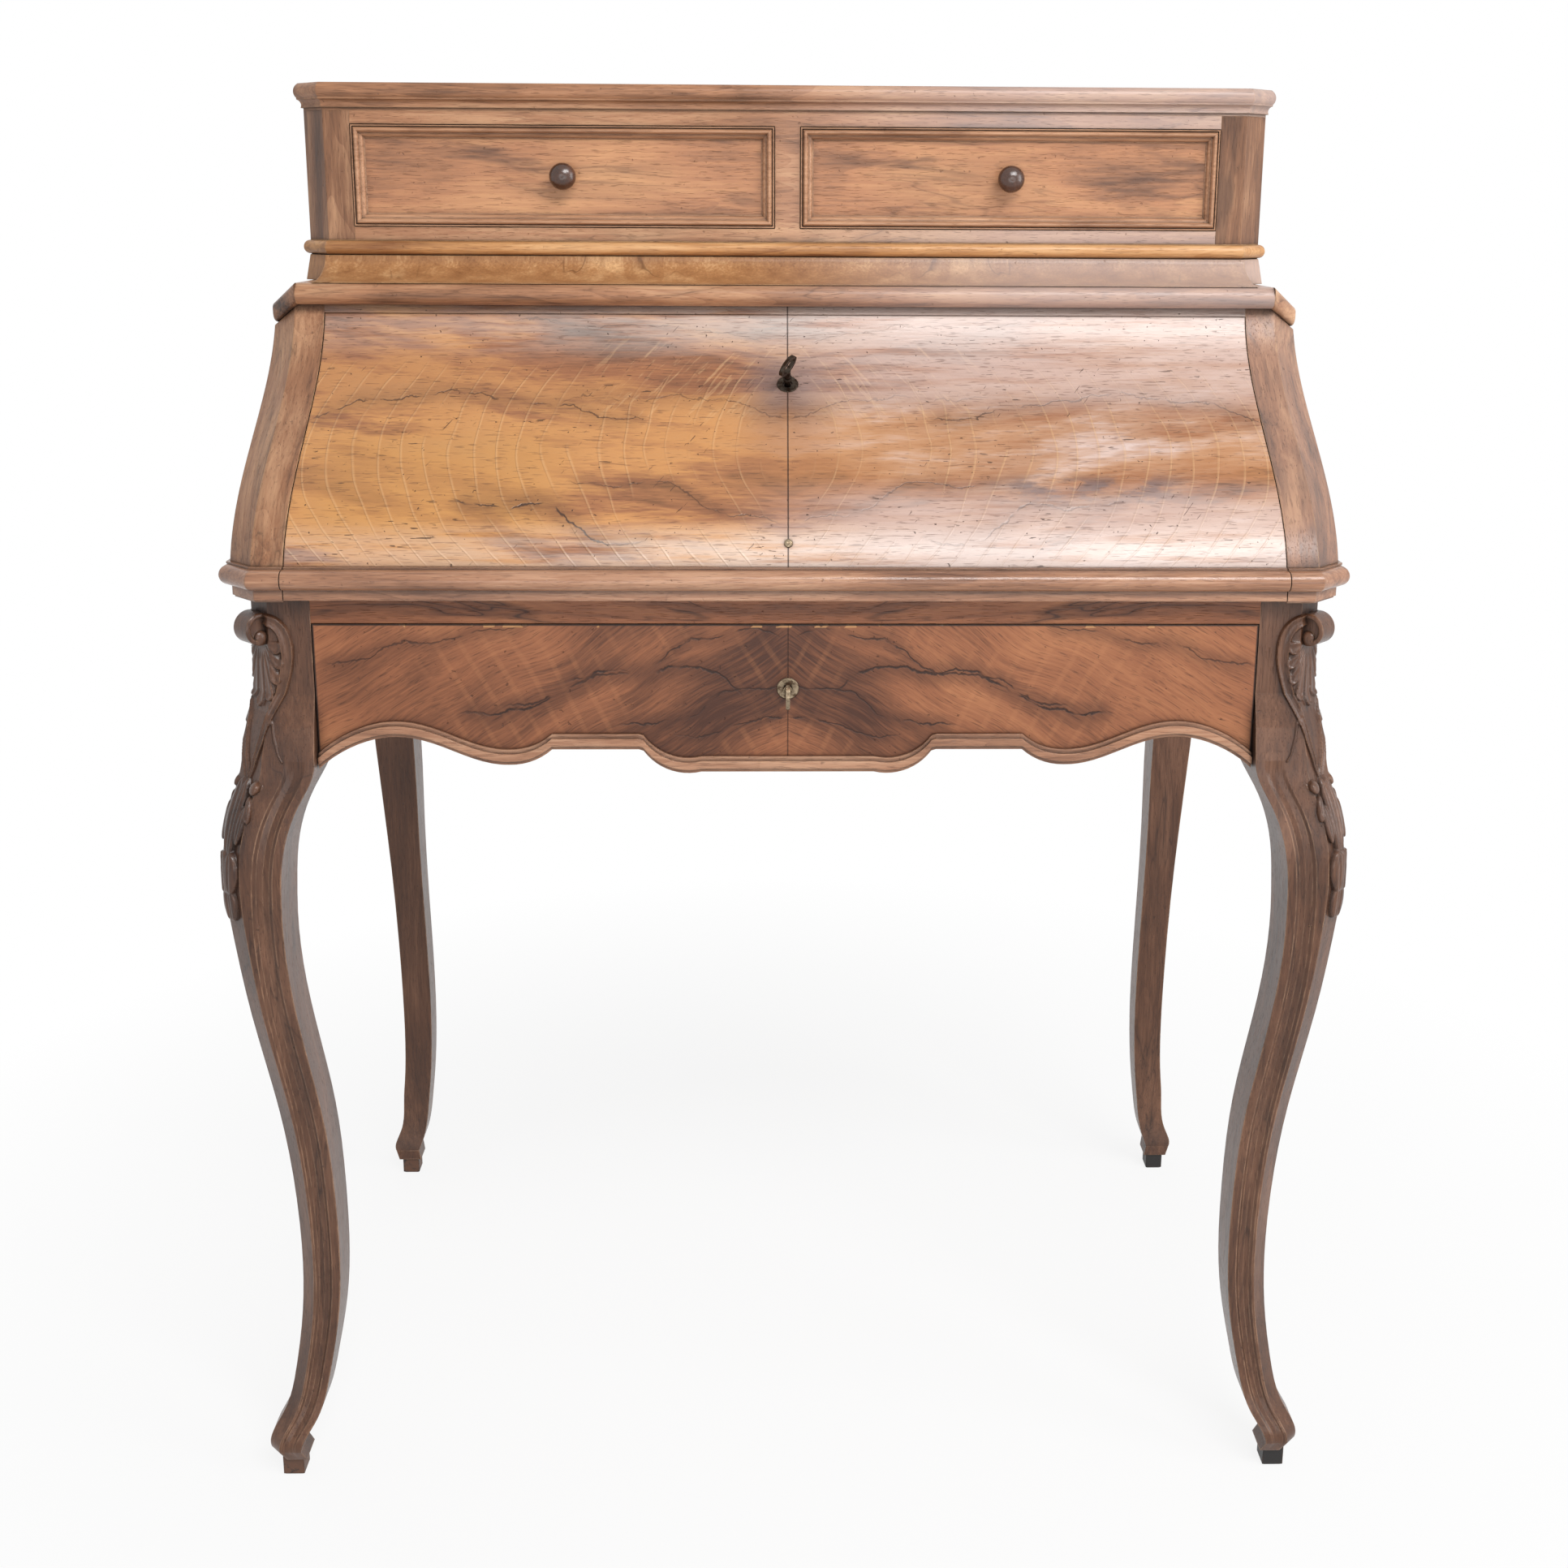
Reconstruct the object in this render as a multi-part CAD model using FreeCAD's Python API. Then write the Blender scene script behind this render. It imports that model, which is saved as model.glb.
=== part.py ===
import FreeCAD, Part
import math
import os

# A slant-front writing desk on four cabriole legs: a stand with a shaped frieze drawer, a slanting case closed by
# an S-curved falling front, and a low upper case with two drawers. Millimetres, +Z up, the front faces -Y.
# The origin is on the floor under the middle of the whole desk.

os.makedirs("parts", exist_ok=True)
V = FreeCAD.Vector

# Clearances and common board sizes
running = 0.7             # drawers and the falling front in their openings
air = 0.3                 # between metal pieces that pass each other
pin_play = 0.05           # round a turning pin
overrun = 5.0             # how far a cutter reaches past what it cuts
side_board = 18.0
lining_board = 12.0
back_board = 12.0
drawer_board = 10.0
drawer_floor = 6.0
small_board = 7.0

# Stand
stand_inset = 10.9        # legs' posts inside the sides of the slant case
stand_depth = 461.0       # front face to back face of the posts
stand_top = 740.0
post = 48.6               # a leg's post, square
post_cant_share = 0.344   # canted corner of a front leg, as a share of the leg's width there
post_foot = 615.0         # height at which a back leg starts to curve
front_post_foot = 665.0   # the same of a front leg
block_height = 18.0       # black block under a leg
block_size = 17.0
front_sway = 26.0         # how far a front leg bows out and in
back_sway = 9.0
front_lean = 16.0         # how much further forward a front foot stands
groove = 2.6              # depth of the hollow down the face of a front leg
groove_width = 15.5       # its width, or this share of a thinner leg
groove_width_share = 0.40
bead_width = 7.0          # flat strip between the hollow and the inner edge
bead_share = 0.20
rail_height = 20.0
rail_depth = 40.0
apron_board = 20.0
apron_setback = 2.0
apron_drop = 112.0        # side apron at the legs
apron_rise = 28.0         # how much it arches up between them
runner_height = 15.0
runner_ledge = 21.0
guide_height = 40.0

# Frieze drawer
frieze_board = 22.0
frieze_low = 615.5        # underside of the front at its middle
scallop = 28.0            # height of the highest arch above that
bead_drop = 12.0          # applied bead under the shaped edge
bead_proud = 5.0
frieze_box_low = 650.0
frieze_box_high = 712.0
frieze_box_length = 350.0
frieze_travel = 300.0
frieze_key_drop = 50.3    # keyhole below the top of the drawer's front

# Slant case
body_half = 418.6
cant = 20.9               # canted corner of the stiles, at 45 degrees in plan
stile_face = 44.7         # from the opening that the falling front fills to the outside of the case
foot_rise = 9.0           # bottom of the falling front above its pivot
slope_height = 182.4
slope_lag = 16.0          # the slanting front is this much less deep than high
foot_step = 12.4          # how far the front's foot stands before the stand
stile_depth = 49.0
nosing = 17.1
nosing_reach = 14.0       # nosing before the head of the falling front
nosing_lap = 3.7          # its straight length stops this far inside the canted corner
corner_drop = 17.9        # how far it falls over the canted corner
head_rail_depth = 62.0    # fixed rail over the head of the falling front
head_rail_lip = 30.0
lip_end = 23.9            # the rail's deep part stops this far inside the opening
bed_board = 16.0
head_curve_share = (0.074, 0.392)
foot_curve_share = (0.130, 0.377)

# Base moulding, whose middle length turns with the falling front about the middle of its torus
torus = 7.5
torus_height = 17.0       # torus centre above the stand
torus_reach = 7.1         # torus centre before the flap's foot
torus_lap = 1.1           # the torus turns this far outside the canted corner
torus_side = 6.7          # how far the torus stands beyond the sides
fillet = 2.8              # how far the fillet on the torus stands before the case
fascia_setback = 8.5      # fascia under the torus, behind the torus's front
fascia_foot = 1.5
heel_room = 21.5          # what the flap's foot needs round its pivot
heel_gap = 1.0

# Falling front
open_angle = 135.0
inner_face = 17.0         # the flat inside, behind the pivot
pin_radius = 3.0
pin_length = 32.0
leather_thick = 1.2
leather_margin = 34.0
leather_side = 52.0
stay_arm = 145.0
stay_rise = 28.0          # stay's fixed pivot above the flap's pivot
stay_lift = 6.0           # stay's moving pivot above the flap's inside
stay_thick = 2.5
stay_width = 9.0
stay_pin = 2.0
stay_gap = 0.8
stay_room = 1.4           # between the link on the case's side and the opening
stay_head = 3.5
lug_long = 28.0
lug_thick = 6.0

# Upper case
upper_inset = 21.1        # upper case inside the slant case, at each side
upper_cant = 20.0
upper_setback = 42.0      # upper front behind the head of the falling front
upper_post_face = 21.4    # a corner post's face, from its cant to the joint with the rails
cove_height = 20.6
cove_lap = 3.5            # the hollow moulding stops at the corner blocks, this far past the cant
cove_lip = 1.5
cove_flare = 4.3          # how much the corner blocks spread at their foot
astragal_height = 12.4
astragal = 5.5
upper_height = 103.0
cornice_height = 21.6
cornice_reach = 7.0
centre_stile = 10.3
drawer_rail = 10.6
upper_travel = 150.0
panel_margin = 10.8
panel_depth = 4.0
knob_radius = 11.0
knob_length = 21.0

# Pigeonholes
nest_front = 41.0
nest_drawer_height = 50.0
nest_bays = 4
nest_travel = 120.0
nest_knob = 6.0

# Locks and keys
lock_width = 56.0
lock_height = 50.0
lock_thick = 7.0
bolt_width = 9.0
bolt_thick = 4.0
bolt_throw = 8.0
key_shank = 2.4
key_reach = 17.0
bow_half_long = 10.5      # an oval bow
bow_half_short = 7.0
bow_rim = 2.6
bow_thick = 3.0
escutcheon = 8.5
escutcheon_proud = 0.7
escutcheon_seat = 0.8
flap_key_along = 188.5    # keyhole above the pivot, along the flap
flap_key_turn = 33.0

# A front leg's shoulder, whose inner faces stay flat: share of its foot height, share of the sway
shoulder_shares = ((1.000, 0.00), (0.962, 0.27), (0.925, 0.46))

# The hollow's section: share of its width, share of its depth
groove_shares = ((0.00, 0.00), (0.18, 0.70), (0.50, 1.00), (0.82, 0.70), (1.00, 0.00))

# Leg stations: share of the foot height, of the sway, of the post's width and of the hollow's depth
front_leg_shares = (
    (0.874, 0.727, 1.135, 1.0),
    (0.812, 0.985, 1.020, 1.0),
    (0.767, 0.980, 0.970, 1.0),
    (0.723, 0.880, 0.900, 1.0),
    (0.612, 0.550, 0.820, 1.0),
    (0.468, 0.000, 0.780, 1.0),
    (0.334, -0.300, 0.710, 1.0),
    (0.200, -0.270, 0.660, 1.0),
    (0.128, -0.035, 0.620, 1.0),
    (0.078, 0.330, 0.617, 0.9),
    (0.057, 0.640, 0.600, 0.6),
    (0.041, 0.658, 0.540, 0.3),
)
back_leg_shares = (
    (1.000, 0.00, 1.000, 0.0),
    (0.945, 0.45, 0.860, 0.8),
    (0.878, 0.97, 0.820, 1.0),
    (0.782, 0.75, 0.780, 1.0),
    (0.662, 0.10, 0.680, 1.0),
    (0.506, -0.62, 0.600, 1.0),
    (0.361, -0.98, 0.585, 1.0),
    (0.216, -0.73, 0.560, 1.0),
    (0.138, -0.20, 0.535, 1.0),
    (0.085, 0.60, 0.550, 0.9),
    (0.062, 1.25, 0.570, 0.6),
    (0.044, 1.32, 0.500, 0.3),
)
front_block_share = 0.475  # sway share at the foot block
back_block_share = 0.95
sole_share = 0.95         # width of the sole in that of the toe

# Half of the frieze drawer's lower edge: share of its half width, share of the scallop height
ogee_shares = ((0.185, 0.00), (0.262, 0.10), (0.308, 0.60))
table_shares = ((0.318, 0.64), (0.503, 0.64))
valley_shares = ((0.543, 0.32), (0.595, 0.20))
arch_shares = ((0.595, 0.20), (0.680, 0.42), (0.760, 0.83), (0.835, 1.00), (0.930, 0.70), (1.000, 0.10))

# Levels and faces that follow
front_reach = front_sway * front_leg_shares[-1][1] + front_lean * (1 - front_leg_shares[-1][0])
back_reach = back_sway * back_leg_shares[-1][1]
front = (front_reach - back_reach - stand_depth) / 2
back = front + stand_depth
stand_half = body_half - stand_inset
inner_post = stand_half - post
flap_half = body_half - stile_face
lip_half = flap_half - lip_end
case_link_face = flap_half - stay_room
foot_y = front - foot_step
slope_depth = slope_height - slope_lag
head_y = foot_y + slope_depth
pivot_z = stand_top + torus_height
foot_height = pivot_z + foot_rise
head_height = foot_height + slope_height
top_height = head_height + nosing
cove_top = top_height + cove_height
deck = cove_top + astragal_height
cornice_low = deck + upper_height
upper_y = head_y + upper_setback
pivot_y = foot_y - torus_reach
bed_top = pivot_z + inner_face
cant_inner = body_half - cant
nosing_half = cant_inner - nosing_lap
torus_corner = cant_inner + torus_lap
torus_half = body_half + torus_side
upper_half = body_half - upper_inset
upper_inner = upper_half - upper_cant
upper_stile = upper_inner - upper_post_face
cove_stop = upper_inner + cove_lap
cheek = flap_half + running
case_inner = body_half - side_board


def box(x0, x1, y0, y1, z0, z1):
    low = V(min(x0, x1), min(y0, y1), min(z0, z1))
    return Part.makeBox(abs(x1 - x0), abs(y1 - y0), abs(z1 - z0), low)


def flipped(shape):
    """The same piece on the other side of the desk."""
    return shape.mirror(V(0, 0, 0), V(1, 0, 0))


def outline(points):
    """A closed wire through points, where a pair of points stands for an arc: its middle and its end."""
    edges = []
    here = points[0]
    for step in list(points[1:]) + [points[0]]:
        if isinstance(step, tuple):
            edges.append(Part.Arc(here, step[0], step[1]).toShape())
            here = step[1]
        elif here.distanceToPoint(step) > pin_play / 10:
            edges.append(Part.LineSegment(here, step).toShape())
            here = step
    return Part.Wire(edges)


def slab(points, travel):
    return Part.Face(outline(points)).extrude(travel)


def side_slab(points, x0, x1):
    """A slab across the desk from (y, z) points; a pair of them stands for an arc."""
    def place(p):
        if isinstance(p[0], tuple):
            return (place(p[0]), place(p[1]))
        return V(x0, p[0], p[1])
    return slab([place(p) for p in points], V(x1 - x0, 0, 0))


def front_slab(points, y0, y1):
    """A slab from (x, z) points, running back from y0 to y1."""
    return slab([V(x, y0, z) for x, z in points], V(0, y1 - y0, 0))


def floor_slab(points, z0, z1):
    """A slab from (x, y) points, standing from z0 to z1."""
    return slab([V(x, y, z0) for x, y in points], V(0, 0, z1 - z0))


def cylinder(radius, start, end):
    run = end - start
    return Part.makeCylinder(radius, run.Length, start, run)


def joined(*shapes):
    whole = shapes[0]
    for shape in shapes[1:]:
        whole = whole.fuse(shape)
    return whole.removeSplitter()


def less(shape, *cutters):
    for cutter in cutters:
        shape = shape.cut(cutter)
    return shape


def solids(shape):
    return list(shape.Solids) if shape.Solids else [shape]


def save(name, *shapes):
    pieces = [piece for shape in shapes for piece in solids(shape)]
    whole = pieces[0] if len(pieces) == 1 else Part.makeCompound(pieces)
    whole.exportStep("parts/" + name + ".step")


def mitred(path, profile):
    """Lengths of one moulding along a path of plan corners, mitred where they meet. The path runs with the desk
    on its left, and the profile's points are (outward, up) from it, a pair of them standing for an arc."""
    normals = []
    for a, b in zip(path, path[1:]):
        run = (b - a).normalize()
        normals.append(V(run.y, -run.x, 0))
    mitres = [normals[0]]
    for n, m in zip(normals, normals[1:]):
        mitres.append((n + m) * (1 / (1 + n.dot(m))))
    mitres.append(normals[-1])

    def section(corner, mitre):
        def place(p):
            if isinstance(p[0], tuple):
                return (place(p[0]), place(p[1]))
            return corner + mitre * p[0] + V(0, 0, p[1])
        return outline([place(p) for p in profile])

    sections = [section(c, m) for c, m in zip(path, mitres)]
    return [Part.makeLoft([a, b], True, True) for a, b in zip(sections, sections[1:])]


def slope_curve(x, shift=0.0):
    """The S-curve of the falling front and the stiles, seen from the side."""
    foot = V(x, foot_y + shift, foot_height)
    head = V(x, head_y + shift, head_height)
    near_foot = foot + V(0, slope_depth * foot_curve_share[0], slope_height * foot_curve_share[1])
    near_head = head - V(0, slope_depth * head_curve_share[0], slope_height * head_curve_share[1])
    curve = Part.BezierCurve()
    curve.setPoles([foot, near_foot, near_head, head])
    return curve.toShape()


def behind_slope(x0, travel, shift, reach, low=foot_height):
    """What lies behind the S-curve, as far back as reach."""
    foot = V(x0, foot_y + shift, foot_height)
    head = V(x0, head_y + shift, head_height)
    edges = [slope_curve(x0, shift)]
    edges.append(Part.LineSegment(head, V(x0, reach, head_height)).toShape())
    edges.append(Part.LineSegment(V(x0, reach, head_height), V(x0, reach, low)).toShape())
    if low < foot_height:
        edges.append(Part.LineSegment(V(x0, reach, low), V(x0, foot_y + shift, low)).toShape())
        edges.append(Part.LineSegment(V(x0, foot_y + shift, low), foot).toShape())
    else:
        edges.append(Part.LineSegment(V(x0, reach, low), foot).toShape())
    return Part.Face(Part.Wire(edges)).extrude(travel)


# Stand

def leg_section(height, sway, width, cut, lean, canted):
    """A leg's outline at one height, for the front right leg: outer face to +X, front to -Y."""
    outer = stand_half + sway
    inner = outer - width
    fore = front - sway - lean
    rear = fore + width
    points = [V(inner, rear, height), V(inner, fore, height)]
    if canted:
        corner = post_cant_share * width
        start = inner + min(bead_width, bead_share * width)
        across = min(groove_width, groove_width_share * width)
        points += [V(start + across * out, fore + cut * groove * deep, height) for out, deep in groove_shares]
        points.append(V(outer - corner, fore, height))
        points.append(V(outer, fore + corner, height))
    else:
        points.append(V(outer, fore, height))
    points.append(V(outer, rear, height))
    return Part.makePolygon(points + points[:1])


def leg_level(foot, station, sway, lean, canted):
    height_share, sway_share, width_share, cut = station
    return leg_section(foot * height_share, sway * sway_share, post * width_share, cut,
                       lean * (1 - height_share), canted)


def cabriole(foot, shares, sway, lean, canted, block_share, shoulders=()):
    """A leg: the straight post, the shoulder if there is one, the curved length and the sole."""
    top = leg_section(stand_top, 0, post, 0, 0, canted)
    lengths = [Part.Face(top).extrude(V(0, 0, foot - stand_top))]
    upper = [leg_section(foot * level, sway * out, post + sway * out, 0, lean * (1 - level), canted)
             for level, out in shoulders]
    curved = upper[-1:] + [leg_level(foot, station, sway, lean, canted) for station in shares]
    if upper:
        lengths.append(Part.makeLoft(upper, True, True))
    lengths.append(Part.makeLoft(curved, True, False))
    sole = leg_section(block_height, sway * block_share, post * shares[-1][2] * sole_share, 0, lean, canted)
    lengths.append(Part.makeLoft([curved[-1], sole], True, True))
    return joined(*lengths)


def foot_block(shares, sway, lean, block_share):
    size = block_size / 2
    middle = post * shares[-1][2] * sole_share / 2
    x = stand_half + sway * block_share - middle
    y = front - sway * block_share - lean + middle
    low = box(x - size, x + size, y - size, y + size, 0, block_height)
    return low.makeChamfer(block_size / 9, [e for e in low.Edges if e.BoundBox.ZMax < block_height / 2])


def to_back(shape):
    """A front leg's shape turned into a back leg's."""
    return shape.mirror(V(0, (front + back) / 2, 0), V(0, 1, 0))


front_leg = cabriole(front_post_foot, front_leg_shares, front_sway, front_lean, True, front_block_share,
                     shoulder_shares)
back_leg = to_back(cabriole(post_foot, back_leg_shares, back_sway, 0, False, back_block_share))
save("front_right_leg", front_leg)
save("front_left_leg", flipped(front_leg))
save("back_right_leg", back_leg)
save("back_left_leg", flipped(back_leg))
front_block = foot_block(front_leg_shares, front_sway, front_lean, front_block_share)
back_block = to_back(foot_block(back_leg_shares, back_sway, 0, back_block_share))
save("foot_blocks", front_block, flipped(front_block), back_block, flipped(back_block))

rail_low = stand_top - rail_height
mortise_y = front + frieze_board - lock_thick / 2
mortise_half = bolt_width / 2 + air
mortise_front = mortise_y - bolt_thick / 2 - air
mortise_back = mortise_y + bolt_thick / 2 + air
mortise_roof = rail_low + bolt_throw + air
rail_back = front + rail_depth
# A whole board in front, and behind it the lengths that leave the mortise of the lock's bolt between them
save("front_rail", box(-inner_post, inner_post, front, mortise_front, rail_low, stand_top),
     box(-inner_post, inner_post, mortise_front, rail_back, mortise_roof, stand_top),
     box(-inner_post, -mortise_half, mortise_front, rail_back, rail_low, mortise_roof),
     box(mortise_half, inner_post, mortise_front, rail_back, rail_low, mortise_roof),
     box(-mortise_half, mortise_half, mortise_back, rail_back, rail_low, mortise_roof))


def apron(length, x_face, low, rise):
    """A board between two posts with its lower edge arched, from (along, height) points."""
    middle = length / 2
    foot = stand_top - low
    ends = length / 8
    curve = Part.BezierCurve()
    curve.setPoles([V(0, -middle, foot), V(0, -middle + ends, foot + rise * 2), V(0, 0, foot + rise / 4),
                    V(0, middle - ends, foot + rise * 2), V(0, middle, foot)])
    edges = [curve.toShape()]
    corners = [V(0, middle, foot), V(0, middle, stand_top), V(0, -middle, stand_top), V(0, -middle, foot)]
    for a, b in zip(corners, corners[1:]):
        edges.append(Part.LineSegment(a, b).toShape())
    board = Part.Face(Part.Wire(edges)).extrude(V(apron_board, 0, 0))
    board.translate(V(x_face, 0, 0))
    return board


side_length = stand_depth - 2 * post
apron_outer = stand_half - apron_setback
right_apron = apron(side_length, apron_outer - apron_board, apron_drop, apron_rise)
right_apron.translate(V(0, (front + back) / 2, 0))
save("right_apron", right_apron)
save("left_apron", flipped(right_apron))
back_apron = apron(2 * inner_post, 0, apron_drop, apron_rise)
back_apron.rotate(V(0, 0, 0), V(0, 0, 1), 90)
back_apron.translate(V(0, back - apron_setback - apron_board, 0))
save("back_apron", back_apron)

box_half = inner_post - running - air
runner_top = frieze_box_low - air
runner_y0 = front + post
runner_y1 = back - post
apron_inner = apron_outer - apron_board
runner = box(box_half - runner_ledge, apron_inner, runner_y0, runner_y1, runner_top - runner_height, runner_top)
guide = box(inner_post - running / 2, apron_inner, runner_y0, runner_y1, runner_top, runner_top + guide_height)
kicker = box(box_half - runner_ledge, apron_inner, runner_y0, runner_y1, rail_low, stand_top)
save("drawer_runners", joined(runner, guide), flipped(joined(runner, guide)), kicker, flipped(kicker))

# Frieze drawer

frieze_half = inner_post - running
frieze_top = rail_low - running
frieze_key_height = frieze_top - frieze_key_drop


def scallop_point(share, side=1):
    return V(side * frieze_half * share[0], 0, frieze_low + scallop * share[1])


def scallop_edges(side):
    """The shaped lower edge from the middle of the drawer out to one end."""
    ogee = [scallop_point(s, side) for s in ogee_shares]
    table = [scallop_point(s, side) for s in table_shares]
    valley = [scallop_point(s, side) for s in valley_shares]
    arch = Part.BSplineCurve()
    arch.interpolate([scallop_point(s, side) for s in arch_shares])
    return [
        Part.LineSegment(V(0, 0, frieze_low), ogee[0]).toShape(),
        Part.Arc(ogee[0], ogee[1], ogee[2]).toShape(),
        Part.LineSegment(ogee[2], table[0]).toShape(),
        Part.LineSegment(table[0], table[1]).toShape(),
        Part.Arc(table[1], valley[0], valley[1]).toShape(),
        arch.toShape(),
    ]


def along_edge(drop=0.0):
    """The whole lower edge, left to right, as a wire."""
    left = Part.Wire(Part.__sortEdges__(scallop_edges(-1)))
    right = Part.Wire(Part.__sortEdges__(scallop_edges(1)))
    wire = Part.Wire(Part.__sortEdges__(left.Edges + right.Edges))
    wire.translate(V(0, 0, -drop))
    return wire


def above_edge(top, drop, y0, y1):
    """A board from the shaped edge, lowered by drop, up to top."""
    wire = along_edge(drop)
    end = scallop_point(arch_shares[-1])
    low = end.z - drop
    corners = [V(end.x, 0, low), V(end.x, 0, top), V(-end.x, 0, top), V(-end.x, 0, low)]
    edges = wire.Edges
    for a, b in zip(corners, corners[1:]):
        edges = edges + [Part.LineSegment(a, b).toShape()]
    face = Part.Face(Part.Wire(Part.__sortEdges__(edges)))
    board = face.extrude(V(0, y1 - y0, 0))
    board.translate(V(0, y0, 0))
    return board


key_hole = cylinder(key_shank + air, V(0, front - overrun, frieze_key_height),
                    V(0, front + frieze_board + overrun, frieze_key_height))
lock_y = front + frieze_board - lock_thick
bolt_channel = box(-mortise_half, mortise_half, mortise_front, mortise_back, frieze_key_height,
                   frieze_top + overrun)
lock_low = frieze_key_height - lock_height / 2
lock_high = frieze_key_height + lock_height / 2
lock_pocket = box(-lock_width / 2, lock_width / 2, lock_y, lock_y + lock_thick + overrun, lock_low, lock_high)
ring_seat = cylinder(escutcheon, V(0, front - overrun, frieze_key_height),
                     V(0, front + escutcheon_seat, frieze_key_height))
frieze_front = above_edge(frieze_top, 0, front, front + frieze_board)
save("frieze_drawer_front", less(frieze_front, key_hole, lock_pocket, bolt_channel, ring_seat))


def scallop_bead():
    """The half-round bead planted on the shaped edge, standing proud of the drawer's face."""
    strip = above_edge(frieze_top, bead_drop, front - bead_proud, front + frieze_board)
    strip = strip.cut(above_edge(frieze_top + overrun, 0, front - bead_proud - overrun, front + frieze_board + overrun))
    slope = bead_drop / 4
    upper = above_edge(frieze_top, bead_drop - slope, front - bead_proud - overrun, front - bead_proud / 2)
    lip = strip.common(upper)
    inner = strip.cut(box(-frieze_half - overrun, frieze_half + overrun, front - bead_proud - overrun,
                          front - bead_proud / 2, 0, frieze_top))
    lip = lip.cut(above_edge(frieze_top + overrun, slope, front - bead_proud - overrun, front))
    return joined(inner, lip)


save("frieze_bead", scallop_bead())

box_y0 = front + frieze_board
box_y1 = box_y0 + frieze_box_length


def drawer_box(x0, x1, y0, y1, z0, z1, board, floor):
    """Two sides, a back and a floor, each its own board, glued behind a drawer front."""
    left = box(x0, x0 + board, y0, y1, z0, z1)
    right = box(x1 - board, x1, y0, y1, z0, z1)
    rear = box(x0 + board, x1 - board, y1 - board, y1, z0, z1)
    base = box(x0 + board, x1 - board, y0, y1 - board, z0 + floor / 2, z0 + floor * 3 / 2)
    return left, right, rear, base


save("frieze_drawer_box", *drawer_box(-box_half, box_half, box_y0, box_y1, frieze_box_low, frieze_box_high,
                                      drawer_board, drawer_floor))

# Locks, bolts and keys, each made upright at its keyhole: the key comes out towards -Y, the bolt rises along +Z


def ring(depth):
    """The ring round a keyhole, in the face that stands depth before the lock."""
    rim = Part.makeCone(escutcheon, escutcheon - escutcheon_proud, escutcheon_proud, V(0, -depth, 0), V(0, -1, 0))
    seat = cylinder(escutcheon, V(0, escutcheon_seat - depth, 0), V(0, -depth, 0))
    eye = cylinder(key_shank * 1.5, V(0, overrun - depth, 0), V(0, -overrun - depth, 0))
    return rim.fuse(seat).cut(eye).removeSplitter()


def lock_case():
    """A lock's box round the key's bit, with the channel of its bolt."""
    shell = box(-lock_width / 2, lock_width / 2, 0, lock_thick, -lock_height / 2, lock_height / 2)
    wall = lock_thick / 7
    room = cylinder(lock_height / 4, V(0, wall, 0), V(0, lock_thick - wall, 0))
    hole = cylinder(key_shank + air, V(0, -overrun, 0), V(0, lock_thick / 2, 0))
    return less(shell, room, hole, bolt_way(lock_height / 4 - wall, lock_height / 2 + overrun))


def bolt_way(low, high):
    half = bolt_thick / 2 + air
    return box(-bolt_width / 2 - air, bolt_width / 2 + air, lock_thick / 2 - half, lock_thick / 2 + half, low, high)


def bolt(high):
    half = bolt_thick / 2
    low = lock_height / 4 + running
    return box(-bolt_width / 2, bolt_width / 2, lock_thick / 2 - half, lock_thick / 2 + half, low, high)


def oval(half_long, half_short):
    edge = Part.Ellipse(V(0, 0, -bow_thick / 2), half_long, half_short).toShape()
    return Part.Face(Part.Wire([edge])).extrude(V(0, 0, bow_thick))


def key(depth, turn):
    """Shank, bit, collar and an oval bow in one plane with the bit."""
    tip = -depth - key_reach
    shank = cylinder(key_shank, V(0, lock_thick * 0.7, 0), V(0, tip, 0))
    bit = box(-key_shank / 3, key_shank / 3, lock_thick / 4, lock_thick * 0.7, -lock_height / 6, 0)
    collar_y = -depth - key_reach / 3
    collar = cylinder(key_shank * 1.5, V(0, collar_y, 0), V(0, collar_y - key_shank, 0))
    hole = oval(bow_half_long - bow_rim, bow_half_short - bow_rim)
    bow = oval(bow_half_long, bow_half_short).cut(hole)
    bow.rotate(V(0, 0, 0), V(0, 1, 0), 90)
    bow.translate(V(0, tip - bow_half_short + bow_rim / 2, 0))
    whole = joined(shank, collar, bit, bow)
    whole.rotate(V(0, 0, 0), V(0, 1, 0), turn)
    return whole


def seated(shape, place, tilt=0.0):
    shape = shape.copy()
    shape.rotate(V(0, 0, 0), V(1, 0, 0), -tilt)
    shape.translate(place)
    return shape


frieze_depth = frieze_board - lock_thick
frieze_lock_place = V(0, lock_y, frieze_key_height)
save("frieze_lock", seated(lock_case(), frieze_lock_place), seated(ring(frieze_depth), frieze_lock_place))
save("frieze_bolt", seated(bolt(frieze_top - running - frieze_key_height), frieze_lock_place))
save("frieze_key", seated(key(frieze_depth, 0), frieze_lock_place))

# Slant case

torus_y = pivot_y - torus
torus_path = [V(flap_half, torus_y, stand_top), V(torus_corner, torus_y, stand_top),
              V(torus_half, torus_y + torus_half - torus_corner, stand_top), V(torus_half, back, stand_top)]
bottom_y = pivot_y + heel_room
moulding_back = bottom_y - torus_y
torus_foot = torus_height - torus
torus_head = torus_height + torus
torus_profile = (
    (-moulding_back, 0), (-fascia_setback - fascia_foot, 0), (-fascia_setback - fascia_foot, fascia_foot),
    (-fascia_setback, fascia_foot), (-fascia_setback, torus_foot), (-torus, torus_foot),
    ((0, torus_height), (-torus, torus_head)), (-moulding_back, torus_head),
)
case_path = [V(flap_half, foot_y, stand_top), V(cant_inner, foot_y, stand_top),
             V(body_half, foot_y + cant, stand_top), V(body_half, back, stand_top)]
fillet_height = foot_height - stand_top
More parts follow.
